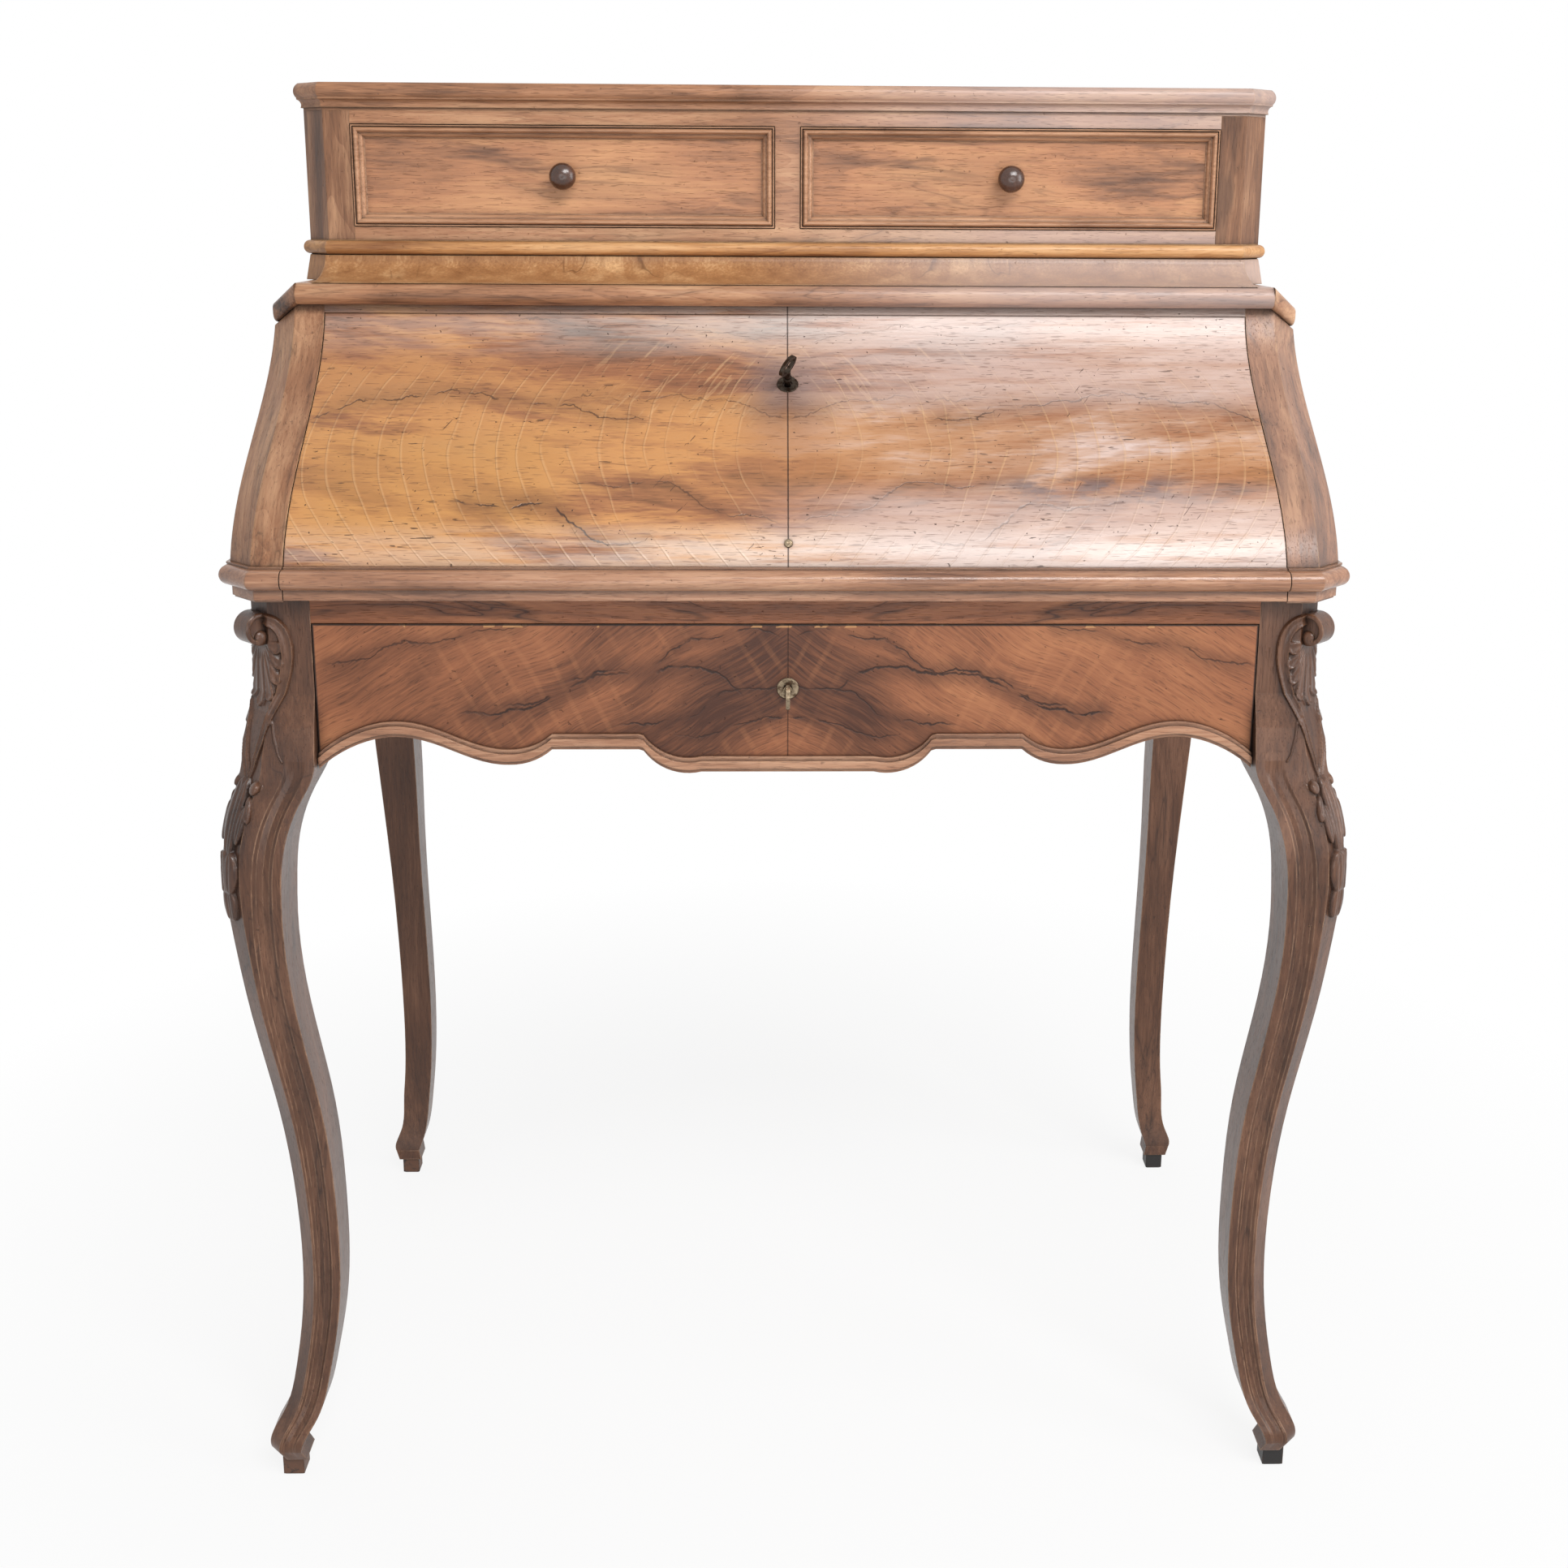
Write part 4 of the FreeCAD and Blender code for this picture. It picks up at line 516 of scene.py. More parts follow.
def flap_veneer(colours):
    """Book-matched veneer of the falling front, with ripples, dark veins, stains and wear, painted sheen and
    shade on its ripples and its right half, a painted highlight on its edges and painted shade in its
    hollows.
    """
    f = Finish("book_matched_flap_veneer")
    half_width = flap_high.x
    span = flap_high.z - flap_low.z
    across = f.size(f.x)
    place = f.point(across, f.times(f.y, 0.5), f.z)
    along = f.divided(across, half_width)
    level = f.divided(f.minus(f.z, flap_low.z), span)
    side = f.remap(f.x, -0.06, 0.10)
    wander = f.warped(place, 5.0, 0.06)
    flame = f.noise(f.stretched(f.turned(wander, 0.16), (4.5, 8.0, 30.0)), 1.0, 4.0, 0.60, 0.25)
    fibre = f.noise(f.stretched(f.warped(place, 30.0, 0.004), (26.0, 300.0, 560.0)), 1.0, 3.0, 0.65)
    clouds = f.noise(f.place, 6.5, 3.0, 0.55, 0.3)
    patches = f.noise(f.stretched(f.place, (3.0, 6.0, 12.0)), 1.0, 3.0, 0.6, 0.3)
    streaks = f.noise(f.stretched(f.place, (9.0, 30.0, 160.0)), 1.0, 4.0, 0.62)
    tone = f.weighed((flame, 1.9), (fibre, 0.55), (patches, 0.5), (1.0, -0.975))
    colour = flap_ground(f, colours, tone, side, patches, along, level)
    ripple, swell_and_shade = flap_ripples(f, place, across, along, level)
    # Painted shade on one side of each ripple
    colour = f.blend(f.times(f.remap(swell_and_shade, -0.4, 0.5), 0.14), colour, colours.flap_brown)
    # Pale ripple lines: figure, with a painted sheen
    colour = f.blend(f.times(ripple, 0.22), colour, colours.ripple)
    rays = f.noise(f.stretched(f.turned(place, -0.75), (34.0, 60.0, 330.0)), 1.0, 3.0, 0.6)
    ray = f.times(f.remap(rays, 0.54, 0.66),
                  f.times(f.band(level, 0.72, 0.10, 0.12), f.band(along, 0.20, 0.14, 0.12)))
    colour = f.blend(f.times(ray, 0.26), colour, colours.ripple)
    knot = f.times(f.remap(along, 0.15, 0.02), f.band(level, 0.48, 0.03, 0.20))
    colour = f.blend(f.times(knot, 0.40), colour, colours.flap_brown)
    vein_wave = f.noise(place, 30.0, 4.0, 0.65)
    shaken = f.plus(level, f.times(f.minus(vein_wave, 0.5), 0.10))
    broken = f.remap(f.noise(f.place, 45.0, 2.0), 0.36, 0.48)
    lines, smokes = vein_lines(f, along, shaken, span, FLAP_VEINS, broken, 0.40)
    colour = f.blend(smokes, colour, colours.flap_vein)
    colour = f.blend(lines, colour, scaled(colours.flap_vein, 0.45))
    colour = flap_stains_and_sheen(f, colours, colour, side, across, along, level, clouds, streaks)
    pores = f.remap(f.noise(f.stretched(place, (85.0, 500.0, 1200.0)), 1.0, 1.0), 0.60, 0.69)
    colour = f.blend(f.times(pores, 0.42), colour, colours.flap_vein)
    harm = flap_harm(f)
    colour = f.blend(f.times(harm, 0.75), colour, scaled(colours.flap_vein, 0.45))
    seam = f.remap(across, 0.0007, 0.0002)
    colour = f.blend(f.times(seam, 0.85), colour, scaled(colours.flap_vein, 0.35))
    # Edges lightened: wear, with a painted highlight along them
    edge_nearness, soft = f.edge(0.0016)
    colour = f.blend(f.times(edge_nearness, 0.45), colour, colours.frame_mid)
    # Darkened in hollows and joints: grime, with painted shade
    grime_and_shade = f.hollow(0.010)
    colour = f.blend(f.times(grime_and_shade, 0.80), colour, scaled(colours.flap_vein, 0.25))
    rough = f.weighed((fibre, 0.26), (clouds, 0.20), (grime_and_shade, 0.2), (streaks, 0.14), (1.0, 0.045))
    height = f.weighed((fibre, 0.30), (ripple, 0.22), (swell_and_shade, 0.40), (harm, -1.2), (seam, -1.0),
                       (flame, 0.45), (lines, -0.4), (streaks, 0.3))
    return f.finish(colour, rough, height, 0.00075, soft, coat=0.20, specular=0.40)


# Dark veins of the frieze drawer, on each side of its seam, set down in the same way
FRIEZE_VEINS = (
    (((0.02, 0.900), (0.08, 0.960), (0.15, 0.900), (0.22, 0.860), (0.30, 0.660), (0.38, 0.620),
      (0.46, 0.560), (0.52, 0.440), (0.60, 0.380)), 0.0012, 0.85, 0.014),
    (((0.10, 0.480), (0.16, 0.640), (0.22, 0.700), (0.30, 0.640), (0.36, 0.660), (0.46, 0.520),
      (0.58, 0.360), (0.70, 0.330)), 0.0014, 0.95, 0.016),
    (((0.00, 0.560), (0.05, 0.500), (0.10, 0.520), (0.16, 0.420), (0.22, 0.300), (0.30, 0.260),
      (0.36, 0.240)), 0.0012, 0.90, 0.013),
    (((0.00, 0.330), (0.06, 0.290), (0.12, 0.240), (0.20, 0.150), (0.24, 0.170)), 0.0010, 0.80, 0.010),
    (((0.55, 0.980), (0.66, 0.930), (0.74, 0.860), (0.83, 0.850), (0.90, 0.740), (1.00, 0.700)),
     0.0010, 0.70, 0.014))


def frieze_veneer(colours):
    """Book-matched veneer of the frieze drawer: dark figure that climbs like hills towards the seam."""
    f = Finish("book_matched_frieze_veneer")
    low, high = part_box("frieze_drawer_front")
    span = high.z - low.z
    across = f.size(f.x)
    place = f.point(across, f.y, f.z)
    along = f.divided(across, high.x)
    level = f.divided(f.minus(f.z, low.z), span)
    slanted = f.turned(f.warped(place, 7.0, 0.05), -0.55)
    hills = f.noise(f.stretched(slanted, (4.0, 5.0, 18.0)), 1.0, 3.0, 0.55, 0.4)
    fibre = f.noise(f.stretched(f.warped(slanted, 30.0, 0.004), (26.0, 60.0, 560.0)), 1.0, 3.0, 0.65)
    clouds = f.noise(f.place, 7.0, 3.0)
    tone = f.weighed((hills, 0.95), (fibre, 0.60), (clouds, 0.75), (f.remap(across, 0.22, 0.02), -0.34),
                     (1.0, -0.54))
    colour = f.ramp(tone, [(0.12, colours.frieze_dark), (0.50, colours.frieze_mid),
                           (0.90, colours.frieze_light)])
    chatter = f.math("SINE", f.times(f.weighed((across, 1.0), (f.z, -0.55), (clouds, 0.03)), 330.0))
    seen = f.remap(f.noise(place, 12.0, 2.0), 0.44, 0.60)
    colour = f.blend(f.times(f.times(f.remap(chatter, 0.5, 1.0), seen), 0.16), colour, colours.frieze_light)
    wave = f.noise(place, 32.0, 4.0, 0.65)
    shaken = f.plus(level, f.times(f.minus(wave, 0.5), 0.16))
    broken = f.remap(f.noise(f.place, 38.0, 2.0), 0.36, 0.50)
    lines, smokes = vein_lines(f, along, shaken, span, FRIEZE_VEINS, broken, 0.60)
    colour = f.blend(smokes, colour, colours.frieze_dark)
    colour = f.blend(lines, colour, scaled(colours.frieze_dark, 0.35))
    pores = f.remap(f.noise(f.stretched(slanted, (85.0, 200.0, 1200.0)), 1.0, 1.0), 0.60, 0.69)
    colour = f.blend(f.times(pores, 0.45), colour, scaled(colours.frieze_dark, 0.5))
    seam = f.remap(across, 0.0006, 0.0002)
    colour = f.blend(f.times(seam, 0.7), colour, scaled(colours.frieze_dark, 0.4))
    chips = f.times(f.remap(f.z, high.z - 0.0030, high.z - 0.0018),
                    f.remap(f.noise(f.place, 75.0, 2.0), 0.615, 0.64))
    colour = f.blend(f.times(chips, 0.8), colour, colours.honey_mid)
    # Painted shadow of the gaps over and beside the drawer front, on its front face only
    top_gap_shadow = f.remap(f.z, high.z - 0.0016, high.z - 0.0007)
    side_gap_shadow = f.remap(across, high.x - 0.0016, high.x - 0.0006)
    facing_parts = f.node("ShaderNodeSeparateXYZ", {0: f.node("ShaderNodeNewGeometry").outputs["Normal"]})
    gap_shadow = f.times(f.larger(top_gap_shadow, side_gap_shadow), f.remap(facing_parts.outputs[1], -0.5, -0.8))
    soft = f.edge(0.0010)[1]
    # Darkened in hollows and joints: grime, with painted shade
    grime_and_shade = f.hollow(0.010)
    colour = f.blend(f.times(grime_and_shade, 0.8), colour, scaled(colours.frieze_dark, 0.25))
    colour = f.blend(f.times(gap_shadow, 0.92), colour, scaled(colours.frieze_dark, 0.10))
    dents = f.remap(f.noise(f.place, 260.0, 2.0), 0.71, 0.76)
    colour = f.blend(f.times(dents, 0.5), colour, scaled(colours.frieze_dark, 0.4))
    rough = f.weighed((fibre, 0.26), (clouds, 0.14), (grime_and_shade, 0.25), (1.0, 0.16))
    height = f.weighed((fibre, 0.40), (dents, -1.0), (seam, -1.0), (hills, 0.2), (lines, -0.5),
                       (chips, -0.8))
    return f.finish(colour, rough, height, 0.0004, soft, coat=0.08, specular=0.30)


def metal(name, colour, rough, dirt_colour):
    """Old metal: worn bright on its edges, dull and brown in its hollows."""
    f = Finish(name)
    patches = f.noise(f.place, 240.0, 4.0, 0.6)
    edge_nearness, soft = f.edge(0.0005)
    look = f.blend(f.remap(patches, 0.40, 0.66), colour, dirt_colour)
    look = f.blend(f.times(edge_nearness, 0.6), look, scaled(colour, 1.9))
    grime_and_shade = f.hollow(0.004)
    look = f.blend(f.times(grime_and_shade, 0.8), look, scaled(dirt_colour, 0.3))
    fine = f.noise(f.place, 1500.0, 2.0)
    roughness = f.weighed((patches, 0.30), (grime_and_shade, 0.2), (1.0, rough - 0.15))
    return f.finish(look, roughness, f.weighed((patches, 0.6), (fine, 0.3)), 0.00012, soft, metallic=1.0)


def leather_finish(colour):
    """Thin tooled leather, with a blind-stamped line inside its edge."""
    f = Finish("tooled_leather")
    cells = f.node("ShaderNodeTexVoronoi", {"Vector": f.place, "Scale": 620.0},
                   feature="DISTANCE_TO_EDGE").outputs[0]
    creases = f.remap(cells, 0.0, 0.12)
    wear = f.noise(f.place, 18.0, 4.0, 0.6)
    look = f.blend(f.remap(wear, 0.40, 0.66), colour, scaled(colour, 1.7))
    look = f.blend(f.times(f.minus(1.0, creases), 0.5), look, scaled(colour, 0.4))
    low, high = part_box("flap_leather")
    inset = 0.014
    side = f.minus(high.x - inset, f.size(f.x))
    bottom = f.minus(f.z, low.z + inset * 0.7)
    top = f.minus(high.z - inset * 0.7, f.z)
    inside = f.smaller(side, f.smaller(bottom, top))
    line = f.band(inside, 0.0, 0.0006, 0.0004)
    look = f.blend(f.times(line, 0.7), look, scaled(colour, 0.25))
    rough = f.weighed((wear, 0.2), (creases, -0.1), (1.0, 0.45))
    return f.finish(look, rough, f.weighed((creases, 0.5), (line, -1.0)), 0.0002)


def foot_paint(colours):
    """Black paint on the foot blocks, worn through to brown wood at the corners."""
    f = Finish("worn_blacking")
    edge_nearness, soft = f.edge(0.0022)
    patches = f.noise(f.place, 130.0, 4.0, 0.65)
    scuffed = f.times(edge_nearness, f.remap(patches, 0.40, 0.60))
    one_side = f.remap(f.x, -0.20, -0.30)
    bare = f.larger(f.times(scuffed, 0.8), f.times(one_side, f.remap(patches, 0.30, 0.50)))
    look = f.blend(bare, colours.blacking, colours.stand_mid)
    rough = f.weighed((patches, 0.3), (1.0, 0.35))
    return f.finish(look, rough, patches, 0.0003, soft)


def dress(material, *nodes):
    """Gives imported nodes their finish."""
    for name in nodes:
        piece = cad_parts[name]
        if not piece.material_slots:
            piece.data.materials.append(material)
        for slot in piece.material_slots:
            slot.material = material


# Pieces


def only(*pieces):
    """Leaves just these pieces selected, the first of them active."""
    if bpy.context.mode != "OBJECT":
        bpy.ops.object.mode_set(mode="OBJECT")
    bpy.ops.object.select_all(action="DESELECT")
    for piece in pieces:
        piece.select_set(True)
    bpy.context.view_layer.objects.active = pieces[0] if pieces else None


def placed(piece, name, material, body):
    """Bakes the piece's place into its mesh, names it and sets what it rides on.

    A piece without a material given keeps the ones it has."""
    only(piece)
    bpy.ops.object.transform_apply(location=True, rotation=True, scale=True)
    piece.name = name
    piece.data.name = name
    if material is not None:
        piece.data.materials.clear()
        piece.data.materials.append(material)
    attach(piece, body)


def smooth(piece, angle):
    only(piece)
    bpy.ops.object.shade_smooth_by_angle(angle=angle)


def facing(piece, direction, closeness=0.99):
    """In edit mode, selects just the faces that face one way."""
    bpy.ops.mesh.select_all(action="DESELECT")
    bpy.ops.mesh.select_mode(type="FACE")
    bpy.ops.object.mode_set(mode="OBJECT")
    for face in piece.data.polygons:
        face.select = face.normal.dot(direction) > closeness
    bpy.ops.object.mode_set(mode="EDIT")


# Moulded frame of an upper drawer: share of the width stepped inwards, share of the width stepped forwards
FRAME_STEP_SHARES = ((0.090, 0.000), (0.020, -0.110), (0.040, 0.000), (0.020, 0.110), (0.050, 0.110),
                     (0.080, 0.070), (0.110, 0.000), (0.080, -0.070), (0.050, -0.110), (0.020, -0.080),
                     (0.080, 0.000), (0.020, -0.060), (0.070, -0.030), (0.070, -0.070), (0.060, -0.100),
                     (0.020, -0.060), (0.060, 0.000), (0.020, -0.050))


def framed_drawer_front(side, panel_finish, frame_finish, width):
    """An upper drawer's front with its mitred, moulded frame and nearly flush panel."""
    name = f"upper_{side}_drawer_front"
    low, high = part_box(name)
    only()
    bpy.ops.mesh.primitive_cube_add(size=1.0, location=(low + high) / 2)
    piece = bpy.context.object
    bpy.ops.transform.resize(value=high - low)
    bpy.ops.object.transform_apply(location=True, rotation=True, scale=True)
    piece.data.materials.append(panel_finish)
    piece.data.materials.append(frame_finish)
    bpy.ops.object.mode_set(mode="EDIT")
    front = Vector((0.0, -1.0, 0.0))
    facing(piece, front)
    for inwards, forwards in FRAME_STEP_SHARES:
        bpy.ops.mesh.inset(thickness=inwards * width, depth=forwards * width)
    bpy.ops.object.mode_set(mode="OBJECT")
    centre = (low + high) / 2
    half = (high - low) / 2
    for face in piece.data.polygons:
        across = half.x - abs(face.center.x - centre.x)
        up = half.z - abs(face.center.z - centre.z)
        if face.center.y < centre.y and min(across, up) < width * 0.995:
            face.material_index = 1
    smooth(piece, 0.5)
    placed(piece, f"{side}_framed_drawer_front", None, f"upper_{side}_drawer")
    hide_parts(name)


# A turned knob: share of the length, share of the radius
KNOB_TURNING_SHARES = ((0.00, 0.62), (0.05, 0.66), (0.09, 0.62), (0.11, 0.48), (0.18, 0.40), (0.27, 0.41),
                       (0.32, 0.52), (0.38, 0.72), (0.46, 0.88), (0.56, 0.98), (0.66, 1.00), (0.76, 0.93),
                       (0.85, 0.78), (0.92, 0.56), (0.965, 0.34), (0.985, 0.20), (0.975, 0.10))


def turned_knob(side, finish, radius, length):
    """A ball-headed knob, drawn out of a disc ring by ring, as on a lathe."""
    name = f"upper_{side}_knob"
    low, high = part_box(name)
    centre = (low + high) / 2
    only()
    bpy.ops.mesh.primitive_circle_add(vertices=48, radius=radius, fill_type="NGON",
                                      rotation=(math.pi / 2, 0, 0), location=(centre.x, high.y, centre.z))
    piece = bpy.context.object
    bpy.ops.object.mode_set(mode="EDIT")
    bpy.ops.mesh.select_all(action="SELECT")
    first_share = KNOB_TURNING_SHARES[0][1]
    bpy.ops.transform.resize(value=(first_share, 1.0, first_share))
    along, wide = KNOB_TURNING_SHARES[0]
    for next_along, next_wide in KNOB_TURNING_SHARES[1:]:
        outwards = (0.0, (along - next_along) * length, 0.0)
        bpy.ops.mesh.extrude_region_move(TRANSFORM_OT_translate={"value": outwards})
        bpy.ops.transform.resize(value=(next_wide / wide, 1.0, next_wide / wide))
        along, wide = next_along, next_wide
    bpy.ops.mesh.select_all(action="SELECT")
    bpy.ops.mesh.normals_make_consistent(inside=False)
    bpy.ops.object.mode_set(mode="OBJECT")
    smooth(piece, 0.9)
    placed(piece, f"{side}_turned_knob", finish, f"upper_{side}_drawer")
    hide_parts(name)


# Carving of a knee, laid out flat, in millimetres: distance from the middle of the leg's corner, and
# distance below the top of the stand. The side of the corner that faces sideways counts below zero.
CARVING_HALF = 36.0
CARVING_LENGTH = 255.0
# The ground between the forms lies under the leg's surface, and deeper beneath the leg's own hollow
GROUND = -1.0
HOLLOW_ACROSS = ((21.0, 0.0), (24.0, 3.4))
HOLLOW_DOWN = ((112.0, 0.0), (125.0, 1.0))
# On the sideways side the layout is squeezed towards the foot, and the relief is shallower there
SQUEEZE_DOWN = ((95.0, 1.0), (135.0, 0.58))
CALM_ACROSS = ((-17.0, 0.35), (-9.0, 1.0))
CALM_FROM = 100.0

# The scroll: its middle line and half widths, and how far it stands out down its length
SCROLL_ROUTE = ((4.0, 17.0), (11.0, 17.0), (18.0, 20.5), (23.0, 27.5), (25.2, 38.0), (25.0, 49.0),
                (22.4, 61.0), (17.6, 77.0), (13.2, 92.0), (10.6, 108.0), (5.6, 125.0), (0.6, 141.0))
SCROLL_HALF_WIDTHS = (4.6, 4.8, 5.0, 5.2, 5.2, 5.0, 4.8, 4.2, 3.9, 3.4, 2.8, 1.6)
SCROLL_PROUD_DOWN = ((15.0, 4.2), (75.0, 3.0), (141.0, 2.2))
SCROLL_FLANK = 4.5
SCROLL_BODY_SHARE = 0.72
SCROLL_RIM = 1.3
SCROLL_RIM_SHARES = (0.80, 0.13)
SCROLL_CHANNEL = 1.1
SCROLL_CHANNEL_SHARE = 0.42
# Within the scroll the ground is raised, and sinks away where the scroll narrows
SCROLL_BEND = 8
INNER_GROUND_DOWN = ((82.0, 0.7), (100.0, -1.0))
INNER_GROUND_END = 100.0

# The shell: the hinge of its lobes, the angles of the creases between them in degrees, and their reaches
HINGE = (2.0, 33.0)
CREASES = (2.0, 39.0, 58.5, 73.5, 87.0, 99.0)
REACHES = (20.5, 28.5, 37.5, 48.0, 53.0)
LOBE_ROUNDING_SHARE = 0.16
LOBE_PROUD = 2.4
LOBE_RISE = 1.0
LOBE_DISH = 1.1
LOBE_RIM = (1.4, 1.3, 0.9)
LOBE_CREASE = (2.0, 0.8)

# The berry: its place and radius, how far it stands out and how round it is
BERRY = ((12.0, 145.0), 5.2)
BERRY_PROUD = 1.2
BERRY_BULGE = 4.2
# Leaves and buds: where each starts and ends, and its width
LEAVES = (((9.0, 151.0), (15.0, 171.0), 3.8), ((9.0, 158.0), (7.0, 188.0), 4.6),
          ((2.0, 140.0), (1.0, 197.0), 5.4), ((3.0, 194.0), (2.0, 227.0), 8.0),
          ((1.0, 223.0), (1.0, 250.0), 6.0))
LEAF_PROUD = 2.6
LEAF_BULGE_SHARE = 0.36
LEAF_FULLNESS = (1.15, 0.35)
LEAF_CREASE = (1.3, 0.7)

# The spur that leaves the scroll towards the inside of the leg
SPUR_ROUTE = ((17.4, 96.0), (21.0, 108.0), (26.5, 120.0), (30.5, 125.5))
SPUR_HALF = 1.3
SPUR_PROUD = 1.5

# The front right leg under the carving, in metres: a place across its front, the cant as a share of its
# width, how far behind the front and beside the cant it is measured, how far back the carving's solid
# reaches, and how far it keeps inside the box of the frame
INSIDE_LEG = 0.400
CORNER_SHARE = 0.344
BEHIND_FRONT = 0.030
BESIDE_CANT = 0.002
CARVING_DEPTH = 0.004
INSIDE_BOX = 0.0002


def table_value(place, rows):
    """The value at some places, from rows of place and value."""
    return np.interp(place, [row[0] for row in rows], [row[1] for row in rows])


def ridge(away, width):
    """A soft ridge: 1 on its crest, and nearly nothing two widths away."""
    return np.exp(-(away / width) ** 2)


def raised(height, within, form):
    """The relief with a form laid on it, where the form stands higher."""
    return np.where(within, np.maximum(height, form), height)


def route_distance(across, down, route, widths):
    """Distance from points to a route, and the half width of the route where it is nearest."""
    nearest = np.full(across.shape, 1e9)
    width = np.zeros(across.shape)
    for (a, b, wa, wb) in zip(route, route[1:], widths, widths[1:]):
        run = np.array(b) - np.array(a)
        share = ((across - a[0]) * run[0] + (down - a[1]) * run[1]) / (run @ run)
        share = np.clip(share, 0.0, 1.0)
        away = np.hypot(across - a[0] - share * run[0], down - a[1] - share * run[1])
        closer = away < nearest
        nearest = np.where(closer, away, nearest)
        width = np.where(closer, wa + (wb - wa) * share, width)
    return nearest, width


def rounded(route, rounds=2):
    """A route with its corners cut twice over, so that it bends smoothly."""
    points = [tuple(p) for p in route]
    for _ in range(rounds):
        cut = [points[0]]
        for a, b in zip(points, points[1:]):
            cut.append(tuple(0.75 * u + 0.25 * v for u, v in zip(a, b)))
            cut.append(tuple(0.25 * u + 0.75 * v for u, v in zip(a, b)))
        cut.append(points[-1])
        points = cut
    return points


def with_scroll(height, across, down):
    """Lays the scroll on the relief: a band with a rim on each side and a channel between them."""
    path = rounded([place + (half,) for place, half in zip(SCROLL_ROUTE, SCROLL_HALF_WIDTHS)])
    away, half = route_distance(across, down, [p[:2] for p in path], [p[2] for p in path])
    share = away / half
    rim_share, rim_width = SCROLL_RIM_SHARES
    rim = SCROLL_RIM * ridge(share - rim_share, rim_width)
    channel = SCROLL_CHANNEL * ridge(share, SCROLL_CHANNEL_SHARE)
    flank = np.minimum(1.0, (1.0 - share) * SCROLL_FLANK)
    band = table_value(down, SCROLL_PROUD_DOWN) * flank * SCROLL_BODY_SHARE + rim - channel
    height = raised(height, share < 1.0, band)
    lower = path[SCROLL_BEND:]
    inside = across < table_value(down, [(p[1], p[0]) for p in lower])
    enclosed = inside & (down > lower[0][1]) & (down < INNER_GROUND_END)
    return raised(height, enclosed, table_value(down, INNER_GROUND_DOWN))


def with_shell(height, across, down):
    """Lays the shell on the relief: dished lobes that fan out from one hinge, with creases between them."""
    from_hinge = np.hypot(across - HINGE[0], down - HINGE[1])
    angle = np.degrees(np.arctan2(down - HINGE[1], across - HINGE[0]))
    rim_height, rim_inset, rim_width = LOBE_RIM
    crease_depth, crease_width = LOBE_CREASE
    for first, second, reach in zip(CREASES, CREASES[1:], REACHES):
        half_angle = (second - first) / 2
        off = np.abs(angle - (first + second) / 2) / half_angle
        edge = reach * (1.0 - LOBE_ROUNDING_SHARE * np.clip(off, 0.0, 1.0) ** 3)
        rim = rim_height * ridge(edge - from_hinge - rim_inset, rim_width)
        crease = crease_depth * ridge((1.0 - off) * from_hinge * math.radians(half_angle), crease_width)
        lobe = LOBE_PROUD + LOBE_RISE * from_hinge / reach - LOBE_DISH * (1.0 - off ** 2) + rim - crease
        height = raised(height, (off < 1.0) & (from_hinge < edge), lobe)
    return height


def with_berry(height, across, down):
    """Lays the berry on the relief."""
    (berry_across, berry_down), radius = BERRY
    away = np.hypot(across - berry_across, down - berry_down) / radius
    berry = BERRY_PROUD + BERRY_BULGE * np.sqrt(np.clip(1.0 - away ** 2, 0.0, 1.0))
    return raised(height, away < 1.0, berry)


def with_leaf(height, across, down, start, end, wide):
    """Lays a pointed leaf with a crease along its middle on the relief."""
    axis = np.array(end) - np.array(start)
    reach = np.hypot(*axis)
    axis = axis / reach
    along = ((across - start[0]) * axis[0] + (down - start[1]) * axis[1]) / reach
    beside = np.abs((across - start[0]) * axis[1] - (down - start[1]) * axis[0])
    fullness, taper = LEAF_FULLNESS
    belly = np.sin(np.clip(along, 0.0, 1.0) * math.pi) * (fullness - taper * along)
    body = wide * np.sqrt(np.clip(belly, 0.0, 1.0))
    profile = np.clip(1.0 - (beside / np.maximum(body, 0.05)) ** 2, 0.0, 1.0)
    crease_depth, crease_width = LEAF_CREASE
    crease = crease_depth * ridge(beside, crease_width)
    leaf = (LEAF_PROUD + LEAF_BULGE_SHARE * wide) * np.sqrt(profile) - crease
    return raised(height, (profile > 0.0) & (along > 0.0) & (along < 1.0), leaf)


def carving_height(signed, down):
    """How far the carving of a knee stands out of the leg, in millimetres, over the flat layout."""
    across = np.where(signed > 0.0, signed, -signed * table_value(down, SQUEEZE_DOWN))
    height = GROUND - table_value(signed, HOLLOW_ACROSS) * table_value(down, HOLLOW_DOWN)
    height = with_scroll(height, across, down)
    height = with_shell(height, across, down)
    height = with_berry(height, across, down)
    for start, end, wide in LEAVES:
        height = with_leaf(height, across, down, start, end, wide)
    calm = np.where(down > CALM_FROM, table_value(signed, CALM_ACROSS), 1.0)
    height = np.where(height > 0.0, height * calm, height)
    away, half = route_distance(signed, down, SPUR_ROUTE, [SPUR_HALF] * len(SPUR_ROUTE))
    return raised(height, away < half, SPUR_PROUD * (1.0 - (away / half) ** 2))


def leg_faces(leg, level):
    """Where the front right leg's outer face, front beside the cant and inner face lie at a level."""
    def struck(place, direction):
        return leg.ray_cast(Vector(place), Vector(direction))[1]
    behind = struck((INSIDE_LEG, -1.0, level), (0.0, 1.0, 0.0)).y + BEHIND_FRONT
    outer = struck((1.0, behind, level), (-1.0, 0.0, 0.0)).x
    inner = struck((0.0, behind, level), (1.0, 0.0, 0.0)).x
    flat = outer - CORNER_SHARE * (outer - inner) - BESIDE_CANT
    return outer, struck((flat, -1.0, level), (0.0, 1.0, 0.0)).y, inner


